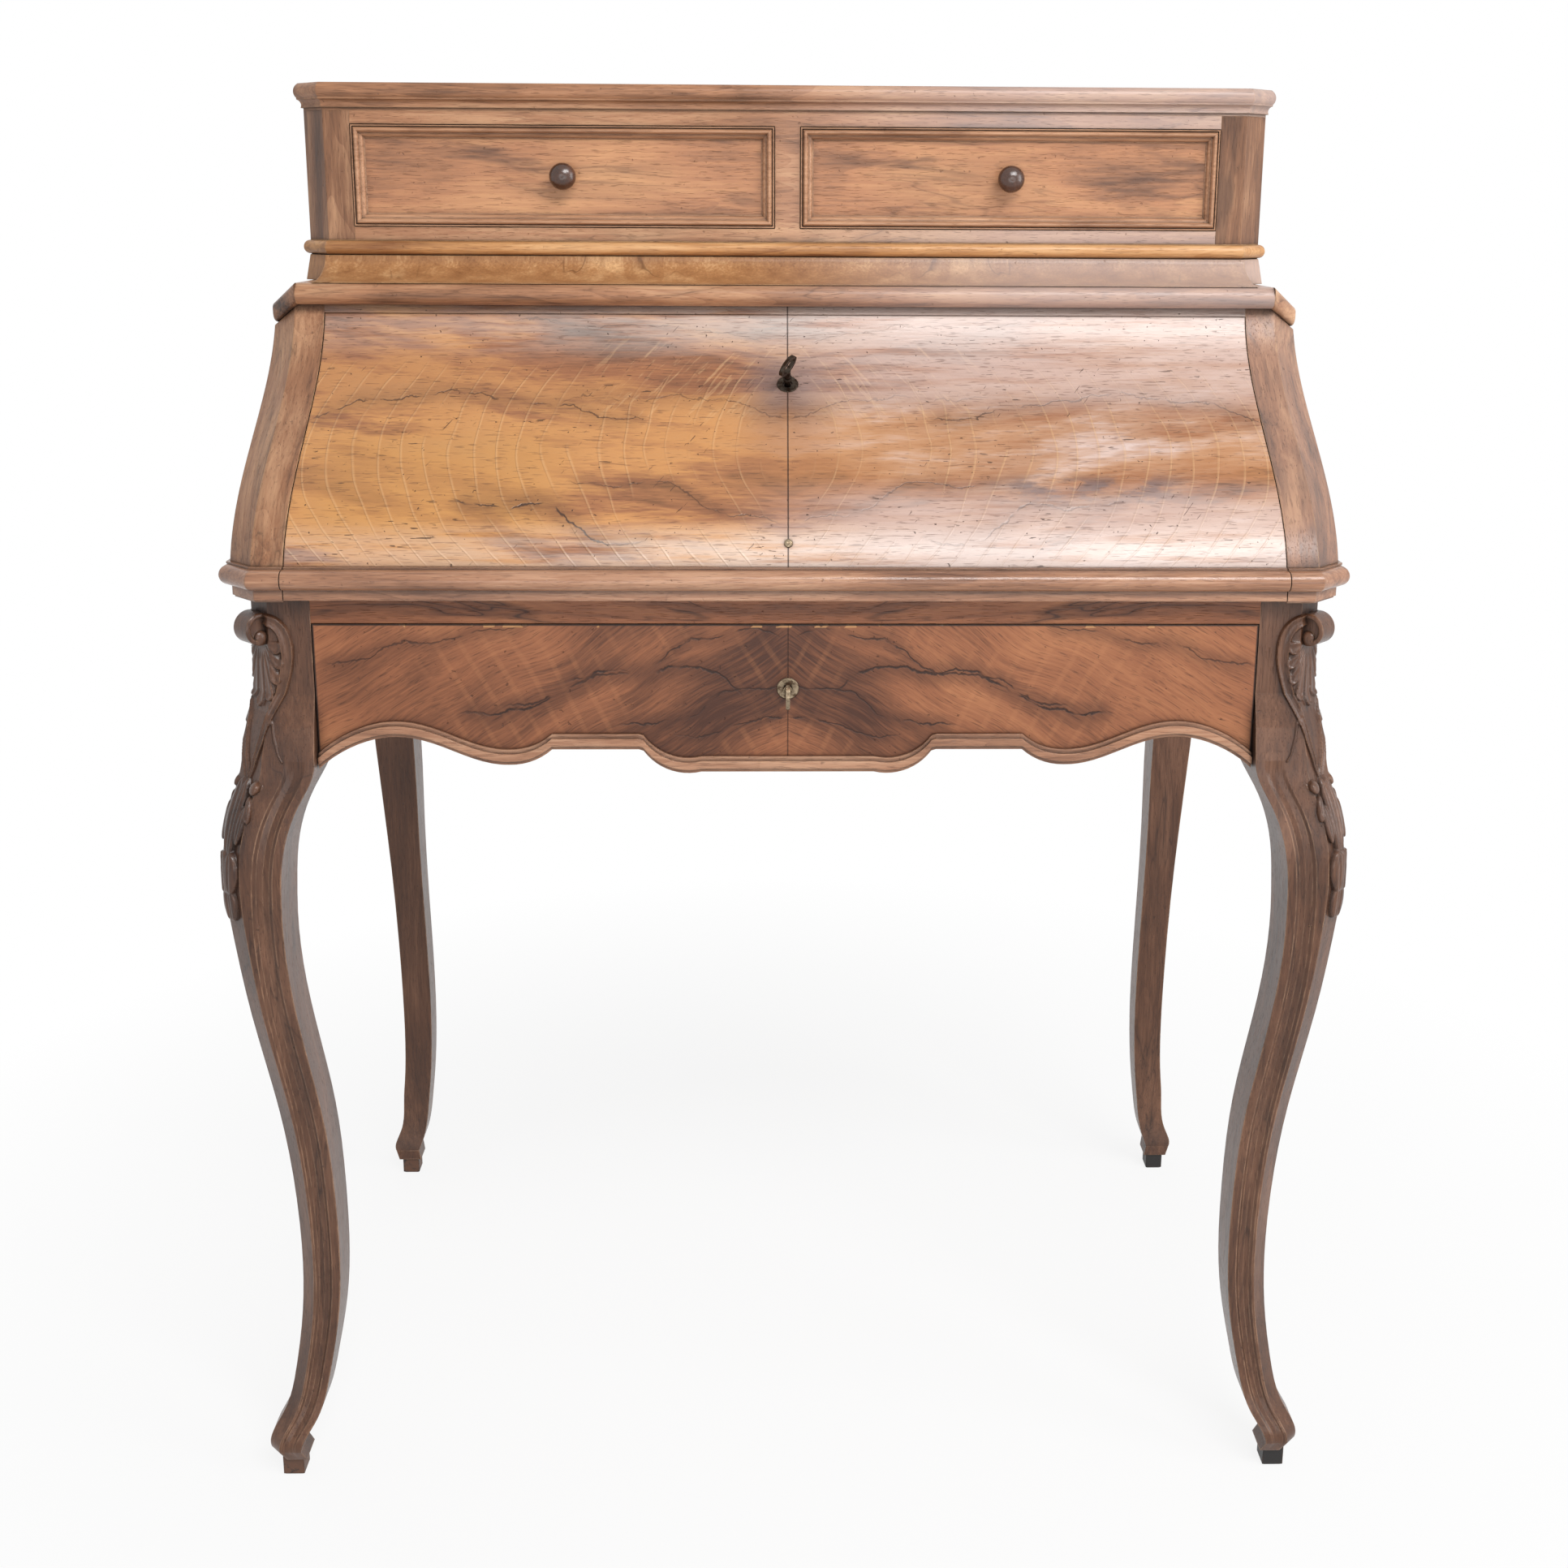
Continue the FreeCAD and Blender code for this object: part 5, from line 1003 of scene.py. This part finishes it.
def softened(heights, rounds=2):
    """The relief with its steps eased, as a worn carving's are."""
    for _ in range(rounds):
        padded = np.pad(heights, 1, mode="edge")
        heights = (padded[:-2, 1:-1] + padded[2:, 1:-1] + padded[1:-1, :-2] + padded[1:-1, 2:]
                   + 4.0 * padded[1:-1, 1:-1]) / 8.0
    return heights


def knee_point(faces, across, down, out):
    """The place in metres of a point of the layout that stands out of the right leg's canted corner."""
    outer, fore, inner = faces
    corner = CORNER_SHARE * (outer - inner)
    half_cant = corner / math.sqrt(2) / MM
    lean = min(1.0, max(-1.0, across / (half_cant * 1.6)))
    angle = math.pi / 4 * (1.0 + lean * (1.5 - 0.5 * lean * lean))
    if abs(across) <= half_cant:
        x = outer - corner / 2 - across * MM / math.sqrt(2)
        y = fore + corner / 2 - across * MM / math.sqrt(2)
    elif across > 0:
        x = outer - corner - (across - half_cant) * MM
        y = fore
    else:
        x = outer
        y = fore + corner - (across + half_cant) * MM
    x = min(x + math.cos(angle) * out * MM, cad_box[1][0] - INSIDE_BOX)
    return x, y - math.sin(angle) * out * MM, leg_top - down * MM


def carved_knee(side, finish, step, proud):
    """The carved ornament of a knee: a grid laid round the leg's canted corner and raised to its relief."""
    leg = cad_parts["front_right_leg"]
    handed = 1.0 if side == "right" else -1.0
    columns = int(2 * CARVING_HALF * MM / step)
    rows = int(CARVING_LENGTH * MM / step)
    only()
    bpy.ops.mesh.primitive_grid_add(x_subdivisions=columns, y_subdivisions=rows, size=1.0)
    piece = bpy.context.object
    bpy.ops.transform.resize(value=(2 * CARVING_HALF, CARVING_LENGTH, 1.0))
    bpy.ops.object.transform_apply(location=True, rotation=True, scale=True)
    flat = np.zeros(len(piece.data.vertices) * 3)
    piece.data.vertices.foreach_get("co", flat)
    flat = flat.reshape(-1, 3)
    across = flat[:, 0]
    down = CARVING_LENGTH / 2 - flat[:, 1]
    height = carving_height(across, down) * (proud / (CARVING_PROUD * MM))
    height = softened(height.reshape(rows + 1, columns + 1)).reshape(-1)
    levels = {}
    for value in sorted(set(np.round(down, 3))):
        levels[value] = leg_faces(leg, min(leg_top - value * MM, leg_top - 0.0005))
    points = np.array([knee_point(levels[round(d, 3)], a, d, h) for a, d, h in zip(across, down, height)])
    points[:, 0] *= handed
    piece.data.vertices.foreach_set("co", points.reshape(-1))
    piece.data.update()
    bpy.ops.object.mode_set(mode="EDIT")
    bpy.ops.mesh.select_all(action="SELECT")
    bpy.ops.mesh.extrude_region_move(TRANSFORM_OT_translate={"value": (0.0, 0.0, 0.0)})
    bpy.ops.transform.translate(value=(-handed * CARVING_DEPTH, CARVING_DEPTH, 0.0))
    bpy.ops.mesh.select_all(action="SELECT")
    bpy.ops.mesh.normals_make_consistent(inside=False)
    bpy.ops.object.mode_set(mode="OBJECT")
    smooth(piece, 1.0)
    placed(piece, f"{side}_knee_carving", finish, "carcass")


# The roll at the top of a knee's scroll, in millimetres: below the top of the stand, and out of the corner
ROLL_DOWN = 24.5
ROLL_OUT = 4.5
# Steps of the roll's end from its rim to the channel of its whorl: inwards, outwards
ROLL_END_STEPS = ((0.6, 0.5), (1.2, 0.4), (1.2, -0.2), (0.9, -1.7), (2.0, -0.3))
EYE_DOWN = 31.0
EYE_RADIUS = 5.6


def knee_roll(side, finish, radius, length):
    """The rolled end of a knee's scroll: a drum across the canted corner, with an eye in each end."""
    outer, fore, inner = leg_faces(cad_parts["front_right_leg"], leg_top - ROLL_DOWN * MM)
    corner = CORNER_SHARE * (outer - inner)
    handed = 1.0 if side == "right" else -1.0
    reach = ROLL_OUT * MM / math.sqrt(2)
    middle = Vector((handed * (outer - corner / 2 + reach), fore + corner / 2 - reach, leg_top
                     - ROLL_DOWN * MM))
    axis = Vector((handed, 1.0, 0.0)).normalized()
    turn = axis.to_track_quat("Z", "Y").to_euler()
    only()
    bpy.ops.mesh.primitive_cylinder_add(vertices=64, radius=radius, depth=length, location=middle,
                                        rotation=turn)
    drum = bpy.context.object
    bpy.ops.object.mode_set(mode="EDIT")
    for end in (-1.0, 1.0):
        facing(drum, Vector((0.0, 0.0, end)))
        for inwards, outwards in ROLL_END_STEPS:
            bpy.ops.mesh.inset(thickness=inwards * MM, depth=outwards * MM)
    bpy.ops.object.mode_set(mode="OBJECT")
    eyes = []
    for end in (-1.0, 1.0):
        place = middle + axis * (end * length * 0.45) + Vector((0.0, 0.0, (ROLL_DOWN - EYE_DOWN) * MM))
        bpy.ops.mesh.primitive_uv_sphere_add(segments=36, ring_count=18, radius=EYE_RADIUS * MM,
                                             location=place, rotation=turn)
        eyes.append(bpy.context.object)
        bpy.ops.transform.resize(value=(1.0, 1.0, 0.55), orient_type="LOCAL")
    only(drum, *eyes)
    bpy.ops.object.join()
    smooth(drum, 0.7)
    placed(drum, f"{side}_knee_scroll", finish, "carcass")


# The nail's place on the falling front, in metres: to the right of the seam, and up from the foot
NAIL_ACROSS = 0.0003
NAIL_UP = 0.0165


def small_nail(finish, radius):
    """A round-headed nail in the seam of the falling front, near its foot."""
    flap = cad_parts["flap_board"]
    before = Vector((NAIL_ACROSS, flap_low.y - 0.2, flap_low.z + NAIL_UP))
    hit = flap.ray_cast(before, Vector((0, 1, 0)))
    place, normal = hit[1], hit[2]
    only()
    bpy.ops.mesh.primitive_cylinder_add(vertices=28, radius=radius, depth=radius * 0.8, location=place,
                                        rotation=normal.to_track_quat("Z", "Y").to_euler())
    piece = bpy.context.object
    bpy.ops.object.mode_set(mode="EDIT")
    facing(piece, Vector((0, 0, 1)))
    bpy.ops.mesh.inset(thickness=radius * 0.25, depth=radius * 0.14)
    bpy.ops.mesh.inset(thickness=radius * 0.30, depth=radius * 0.04)
    bpy.ops.mesh.inset(thickness=radius * 0.12, depth=-radius * 0.12)
    bpy.ops.object.mode_set(mode="OBJECT")
    smooth(piece, 0.7)
    placed(piece, "small_nail", finish, "falling_front")


def back_slip(finish, thickness):
    """The slip of wood that closes the back between the hollow moulding and the upper case."""
    cove_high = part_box("cove_frieze")[1]
    back_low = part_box("upper_back")[0]
    half_width = -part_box("upper_floor")[0].x
    only()
    bpy.ops.mesh.primitive_cube_add(size=1.0,
                                    location=(0.0, cove_high.y - thickness / 2,
                                              (cove_high.z + back_low.z) / 2))
    piece = bpy.context.object
    bpy.ops.transform.resize(value=(2 * half_width, thickness, back_low.z - cove_high.z))
    bpy.ops.object.transform_apply(location=True, rotation=True, scale=True)
    bpy.ops.object.mode_set(mode="EDIT")
    facing(piece, Vector((0.0, 1.0, 0.0)))
    bpy.ops.mesh.bevel(offset=0.0008, segments=2)
    bpy.ops.object.mode_set(mode="OBJECT")
    placed(piece, "upper_back_slip", finish, "carcass")


# Stage


WHITE = (1.0, 1.0, 1.0, 1.0)
PALE = (0.86, 0.86, 0.86, 1.0)
FLOOR_SIZE = 16.0
# The floor fades to white over this stretch from the middle of the desk, from this share of white
FADE_FROM = 0.45
FADE_TO = 1.1
NEAR_WHITE_SHARE = 0.86
# Light from all round, and the soft lights: name, place, what each faces, its width and height, and its
# power in watts
WORLD_LIGHT = 0.34
SOFTBOXES = (
    ("window_light", (0.95, -2.2, 2.85), (0.0, -0.1, 0.85), (1.9, 0.9), 74.0),
    ("right_light", (2.6, -1.2, 1.3), (0.0, 0.0, 0.6), (1.0, 1.8), 24.0),
    ("low_front_light", (0.3, -3.0, 0.7), (0.0, 0.0, 0.55), (2.4, 0.9), 16.0))


def looked_at(tree):
    """1 where the camera, a gloss or glass looks at the surroundings, and 0 where they only give light."""
    path = add_node(tree, "ShaderNodeLightPath").outputs
    mirrored = add_node(tree, "ShaderNodeMath", {0: path["Is Glossy Ray"], 1: path["Is Transmission Ray"]},
                        operation="MAXIMUM").outputs[0]
    return add_node(tree, "ShaderNodeMath", {0: path["Is Camera Ray"], 1: mirrored},
                    operation="MAXIMUM").outputs[0]


def studio_floor():
    """A plain pale floor that fades to white away from the desk."""
    only()
    bpy.ops.mesh.primitive_plane_add(size=FLOOR_SIZE, location=(0, 0, 0))
    floor = bpy.context.object
    floor.name = "studio_floor"
    material = bpy.data.materials.new("pale_floor")
    tree = fresh_tree(material)
    place = add_node(tree, "ShaderNodeTexCoord").outputs["Object"]
    reach = add_node(tree, "ShaderNodeVectorMath", {0: place}, operation="LENGTH").outputs["Value"]
    far = add_node(tree, "ShaderNodeMapRange",
                   {0: reach, 1: FADE_FROM, 2: FADE_TO, 3: NEAR_WHITE_SHARE}).outputs[0]
    amount = add_node(tree, "ShaderNodeMath", {0: far, 1: looked_at(tree)}, operation="MULTIPLY").outputs[0]
    plain = add_node(tree, "ShaderNodeBsdfDiffuse", {"Color": PALE}).outputs[0]
    white = add_node(tree, "ShaderNodeEmission", {"Color": WHITE}).outputs[0]
    both = add_node(tree, "ShaderNodeMixShader", {0: amount, 1: plain, 2: white}).outputs[0]
    add_node(tree, "ShaderNodeOutputMaterial", {0: both})
    floor.data.materials.append(material)


def studio_world(level):
    """Even light from all round, in front of a white background."""
    world = bpy.data.worlds.new("studio")
    bpy.context.scene.world = world
    tree = fresh_tree(world)
    strength = add_node(tree, "ShaderNodeMapRange", {0: looked_at(tree), 3: level, 4: 1.0}).outputs[0]
    light = add_node(tree, "ShaderNodeBackground", {"Color": WHITE, "Strength": strength}).outputs[0]
    add_node(tree, "ShaderNodeOutputWorld", {0: light})


def softbox(name, place, target, size, power):
    """A rectangular soft light that faces a place."""
    light = bpy.data.lights.new(name, "AREA")
    light.shape = "RECTANGLE"
    light.size = size[0]
    light.size_y = size[1]
    light.energy = power
    lamp = bpy.data.objects.new(name, light)
    bpy.context.scene.collection.objects.link(lamp)
    lamp.location = place
    lamp.rotation_euler = (Vector(target) - Vector(place)).to_track_quat("-Z", "Y").to_euler()


def studio_camera(view):
    """The camera where the photograph was taken from, with the same framing."""
    data = bpy.data.cameras.new("studio_camera")
    data.sensor_width = 36.0
    data.lens = view.lens
    data.shift_x = (view.picture_size / 2 - view.centre_across) / view.picture_size
    data.shift_y = (view.centre_down - view.picture_size / 2) / view.picture_size
    camera = bpy.data.objects.new("studio_camera", data)
    bpy.context.scene.collection.objects.link(camera)
    ahead = Vector((math.sin(view.yaw), math.cos(view.yaw), 0.0))
    right = Vector((math.cos(view.yaw), -math.sin(view.yaw), 0.0))
    forward = ahead * math.cos(view.pitch) - Vector((0, 0, 1)) * math.sin(view.pitch)
    up = ahead * math.sin(view.pitch) + Vector((0, 0, 1)) * math.cos(view.pitch)
    leaned_right = right * math.cos(view.roll) + up * math.sin(view.roll)
    leaned_up = up * math.cos(view.roll) - right * math.sin(view.roll)
    turn = Matrix((leaned_right, leaned_up, -forward)).transposed()
    camera.matrix_world = Matrix.Translation(Vector(view.place)) @ turn.to_4x4()
    bpy.context.scene.camera = camera


# Operators


class DESK_OT_stage(bpy.types.Operator):
    """Sets up the floor, the lights and the camera"""
    bl_idname = "desk.stage"
    bl_label = "Stage"

    def execute(self, context):
        studio_floor()
        studio_world(WORLD_LIGHT)
        for name, place, target, size, power in SOFTBOXES:
            softbox(name, place, target, size, power)
        studio_camera(context.scene.desk_view)
        context.scene.view_settings.view_transform = "Standard"
        return {"FINISHED"}


class DESK_OT_case_finish(bpy.types.Operator):
    """Polishes the slant case, the upper case and their mouldings"""
    bl_idname = "desk.case_finish"
    bl_label = "Case finish"

    def execute(self, context):
        c = context.scene.desk_colours
        wear = context.scene.desk_sizes.edge_reach
        dress(timber("case_walnut_across", c.case_dark, c.case_mid, c.case_light, "x", 0.3, edge_reach=wear,
                     sheen=0.36), "case_top", "upper_rails", "top_board")
        dress(timber("cove_veneer", c.honey_dark, c.cove, c.honey_light, "z", 2.1, figure=2.0, mirrored=True,
                     veins=0.7, contrast=0.7, cloud=0.8, smudges=0.2, edge_reach=wear, sheen=0.45),
              "cove_frieze")
        dress(timber("post_walnut_upright", c.post_dark, scaled(c.post_mid, 0.76), c.post_light, "z", 1.1,
                     smudges=0.6, edge_reach=wear), "upper_left_side", "upper_right_side")
        dress(timber("stile_walnut_sloping", c.post_dark, c.post_mid, c.post_light, "z", 1.6, smudges=0.4,
                     worn_and_highlit=c.honey_light, edge_reach=wear, lean=math.radians(45.0), sheen=0.10), "left_stile",
              "right_stile")
        dress(timber("side_walnut_deep", c.post_dark, c.case_mid, c.case_light, "y", 3.3, edge_reach=wear,
                     sheen=0.04), "left_side", "right_side", "shoulders")
        dress(timber("honey_bead", c.honey_dark, c.honey_mid, c.honey_light, "x", 5.2, veins=0.2,
                     edge_reach=wear), "astragal")
        dress(timber("base_moulding_walnut", c.bead_dark, c.bead_mid, c.bead_light, "x", 4.4, gloss=0.22,
                     veins=0.2, contrast=0.8, cloud=0.5, edge_reach=wear, grime_and_shade_reach=0.004, polish=0.45),
              "left_base_moulding", "right_base_moulding", "flap_moulding")
        return {"FINISHED"}


class DESK_OT_front_finish(bpy.types.Operator):
    """Veneers the falling front and lays its leather"""
    bl_idname = "desk.front_finish"
    bl_label = "Falling front finish"

    def execute(self, context):
        c = context.scene.desk_colours
        dress(flap_veneer(c), "flap_board", "head_rail")
        dress(leather_finish(c.leather), "flap_leather")
        return {"FINISHED"}


class DESK_OT_stand_finish(bpy.types.Operator):
    """Polishes the legs, the rails and the frieze drawer"""
    bl_idname = "desk.stand_finish"
    bl_label = "Stand finish"

    def execute(self, context):
        c = context.scene.desk_colours
        wear = context.scene.desk_sizes.edge_reach
        leg = timber("leg_walnut", c.stand_dark, c.stand_mid, c.stand_light, "z", 6.0, gloss=0.34, veins=0.5,
                     worn_and_highlit=c.frame_light, edge_reach=wear, cloud=0.6, contrast=0.8, grime_and_shade_reach=0.018,
                     polish=0.20, blunt_below=0.59)
        dress(leg, "front_left_leg", "front_right_leg", "back_left_leg", "back_right_leg")
        dress(timber("apron_walnut", c.stand_dark, c.stand_mid, c.frieze_mid, "y", 7.0, edge_reach=wear),
              "left_apron", "right_apron")
        dress(timber("back_apron_walnut", c.stand_dark, c.stand_mid, c.frieze_mid, "x", 7.7, edge_reach=wear),
              "back_apron")
        dress(timber("rail_walnut", c.frieze_dark, c.frieze_mid, c.frieze_light, "x", 8.3, mirrored=True,
                     veins=0.8, edge_reach=wear), "front_rail")
        dress(timber("scalloped_bead_walnut", c.bead_dark, c.bead_mid, c.bead_light, "x", 9.1, gloss=0.22,
                     veins=0.2, contrast=0.8, cloud=0.5, edge_reach=wear, grime_and_shade_reach=0.004, polish=0.40),
              "frieze_bead")
        dress(frieze_veneer(c), "frieze_drawer_front")
        dress(foot_paint(c), "foot_blocks")
        return {"FINISHED"}


class DESK_OT_inner_finish(bpy.types.Operator):
    """Finishes the pigeonholes, the writing bed, the linings and the metalwork"""
    bl_idname = "desk.inner_finish"
    bl_label = "Inner finish"

    def execute(self, context):
        c = context.scene.desk_colours
        inner_dark = scaled(c.inner_mid, 0.35)
        inner_light = scaled(c.inner_mid, 1.5)
        dress(timber("pigeonhole_walnut", inner_dark, c.inner_mid, inner_light, "x", 10.0, gloss=0.45),
              "cheeks", "writing_bed", "pigeonholes", "small_drawer_1", "small_drawer_2", "small_drawer_3",
              "small_drawer_4")
        lining_dark = scaled(c.lining_mid, 0.55)
        lining_light = scaled(c.lining_mid, 1.3)
        dress(timber("lining_wood", lining_dark, c.lining_mid, lining_light, "x", 11.0, gloss=0.62,
                     veins=0.1, grime_and_shade_share=0.55), "case_bottom", "case_back", "upper_back", "upper_floor",
              "upper_divider", "drawer_runners", "frieze_drawer_box", "upper_left_drawer_box",
              "upper_right_drawer_box")
        dress(metal("dark_iron", c.iron, 0.42, shade(44, 30, 22)), "flap_lock", "flap_bolt", "flap_key",
              "frieze_bolt")
        dress(metal("rubbed_nickel", c.nickel, 0.34, shade(78, 62, 48)), "frieze_lock", "frieze_key")
        dress(metal("dull_brass", c.brass, 0.36, shade(98, 70, 40)), "pivot_pins", "case_links",
              "flap_links", "stay_lugs")
        return {"FINISHED"}


class DESK_OT_upper_drawers(bpy.types.Operator):
    """Makes the framed fronts and the turned knobs of the upper drawers"""
    bl_idname = "desk.upper_drawers"
    bl_label = "Upper drawers"

    def execute(self, context):
        c = context.scene.desk_colours
        sizes = context.scene.desk_sizes
        panel = timber("drawer_panel_walnut", c.panel_dark, c.panel_mid, c.panel_light, "x", 12.0,
                       figure=4.0, veins=0.3, smudges=0.75, contrast=0.8)
        moulding = timber("drawer_frame_walnut", c.frame_dark, c.frame_mid, c.frame_light, "x", 13.0,
                          veins=0.1, gloss=0.27, contrast=0.6, cloud=0.5, edge_reach=0.0010,
                          grime_and_shade_reach=0.0035)
        knob = timber("knob_walnut", scaled(c.knob_wood, 0.4), c.knob_wood, scaled(c.knob_wood, 1.8), "y",
                      14.0, gloss=0.20, veins=0.2, polish=0.8)
        for side in ("left", "right"):
            framed_drawer_front(side, panel, moulding, sizes.frame_width)
            turned_knob(side, knob, sizes.knob_radius, sizes.knob_length)
        return {"FINISHED"}


class DESK_OT_knee_carving(bpy.types.Operator):
    """Carves the scrolls, shells and husks on the knees of the front legs"""
    bl_idname = "desk.knee_carving"
    bl_label = "Knee carving"

    def execute(self, context):
        c = context.scene.desk_colours
        sizes = context.scene.desk_sizes
        finish = timber("carved_walnut", c.stand_dark, c.stand_mid, c.stand_light, "z", 6.0, gloss=0.30,
                        veins=0.4, worn_and_highlit=c.honey_mid, grime_and_shade_share=0.94, edge_reach=0.0010, grime_and_shade_reach=0.006,
                        cloud=0.6, polish=0.30)
        for side in ("left", "right"):
            carved_knee(side, finish, sizes.carving_step, sizes.carving_proud)
            knee_roll(side, finish, sizes.roll_radius, sizes.roll_length)
        return {"FINISHED"}


class DESK_OT_back_slip(bpy.types.Operator):
    """Closes the back under the upper case"""
    bl_idname = "desk.back_slip"
    bl_label = "Back slip"

    def execute(self, context):
        c = context.scene.desk_colours
        finish = timber("slip_wood", c.case_dark, c.case_mid, c.case_light, "x", 15.0, gloss=0.5, veins=0.1)
        back_slip(finish, context.scene.desk_sizes.slip_thickness)
        return {"FINISHED"}


class DESK_OT_small_metal(bpy.types.Operator):
    """Sets the nail in the falling front"""
    bl_idname = "desk.small_metal"
    bl_label = "Nail"

    def execute(self, context):
        c = context.scene.desk_colours
        small_nail(metal("nail_metal", c.nickel, 0.35, shade(90, 74, 58)),
                   context.scene.desk_sizes.nail_radius)
        return {"FINISHED"}


class DESK_PT_pieces(bpy.types.Panel):
    """Lists the steps that finish the desk"""
    bl_idname = "DESK_PT_pieces"
    bl_label = "Slant-front desk"
    bl_space_type = "VIEW_3D"
    bl_region_type = "UI"
    bl_category = "Desk"

    def draw(self, context):
        for operator in STEPS:
            self.layout.operator(operator.bl_idname)
        for group in (context.scene.desk_sizes, context.scene.desk_colours, context.scene.desk_view):
            for name in group.bl_rna.properties.keys():
                if name not in ("rna_type", "name"):
                    self.layout.prop(group, name)


STEPS = (DESK_OT_stage, DESK_OT_case_finish, DESK_OT_front_finish, DESK_OT_stand_finish,
         DESK_OT_inner_finish, DESK_OT_upper_drawers, DESK_OT_knee_carving, DESK_OT_back_slip,
         DESK_OT_small_metal)
CLASSES = (DeskColours, DeskSizes, DeskView) + STEPS + (DESK_PT_pieces,)


def register():
    for item in CLASSES:
        bpy.utils.register_class(item)
    bpy.types.Scene.desk_colours = PointerProperty(type=DeskColours)
    bpy.types.Scene.desk_sizes = PointerProperty(type=DeskSizes)
    bpy.types.Scene.desk_view = PointerProperty(type=DeskView)


def unregister():
    del bpy.types.Scene.desk_view
    del bpy.types.Scene.desk_sizes
    del bpy.types.Scene.desk_colours
    for item in reversed(CLASSES):
        bpy.utils.unregister_class(item)


def main():
    register()
    bpy.ops.desk.stage()
    bpy.ops.desk.case_finish()
    bpy.ops.desk.front_finish()
    bpy.ops.desk.stand_finish()
    bpy.ops.desk.inner_finish()
    bpy.ops.desk.upper_drawers()
    bpy.ops.desk.knee_carving()
    bpy.ops.desk.back_slip()
    bpy.ops.desk.small_metal()
    only()


if __name__ == "__main__":
    main()
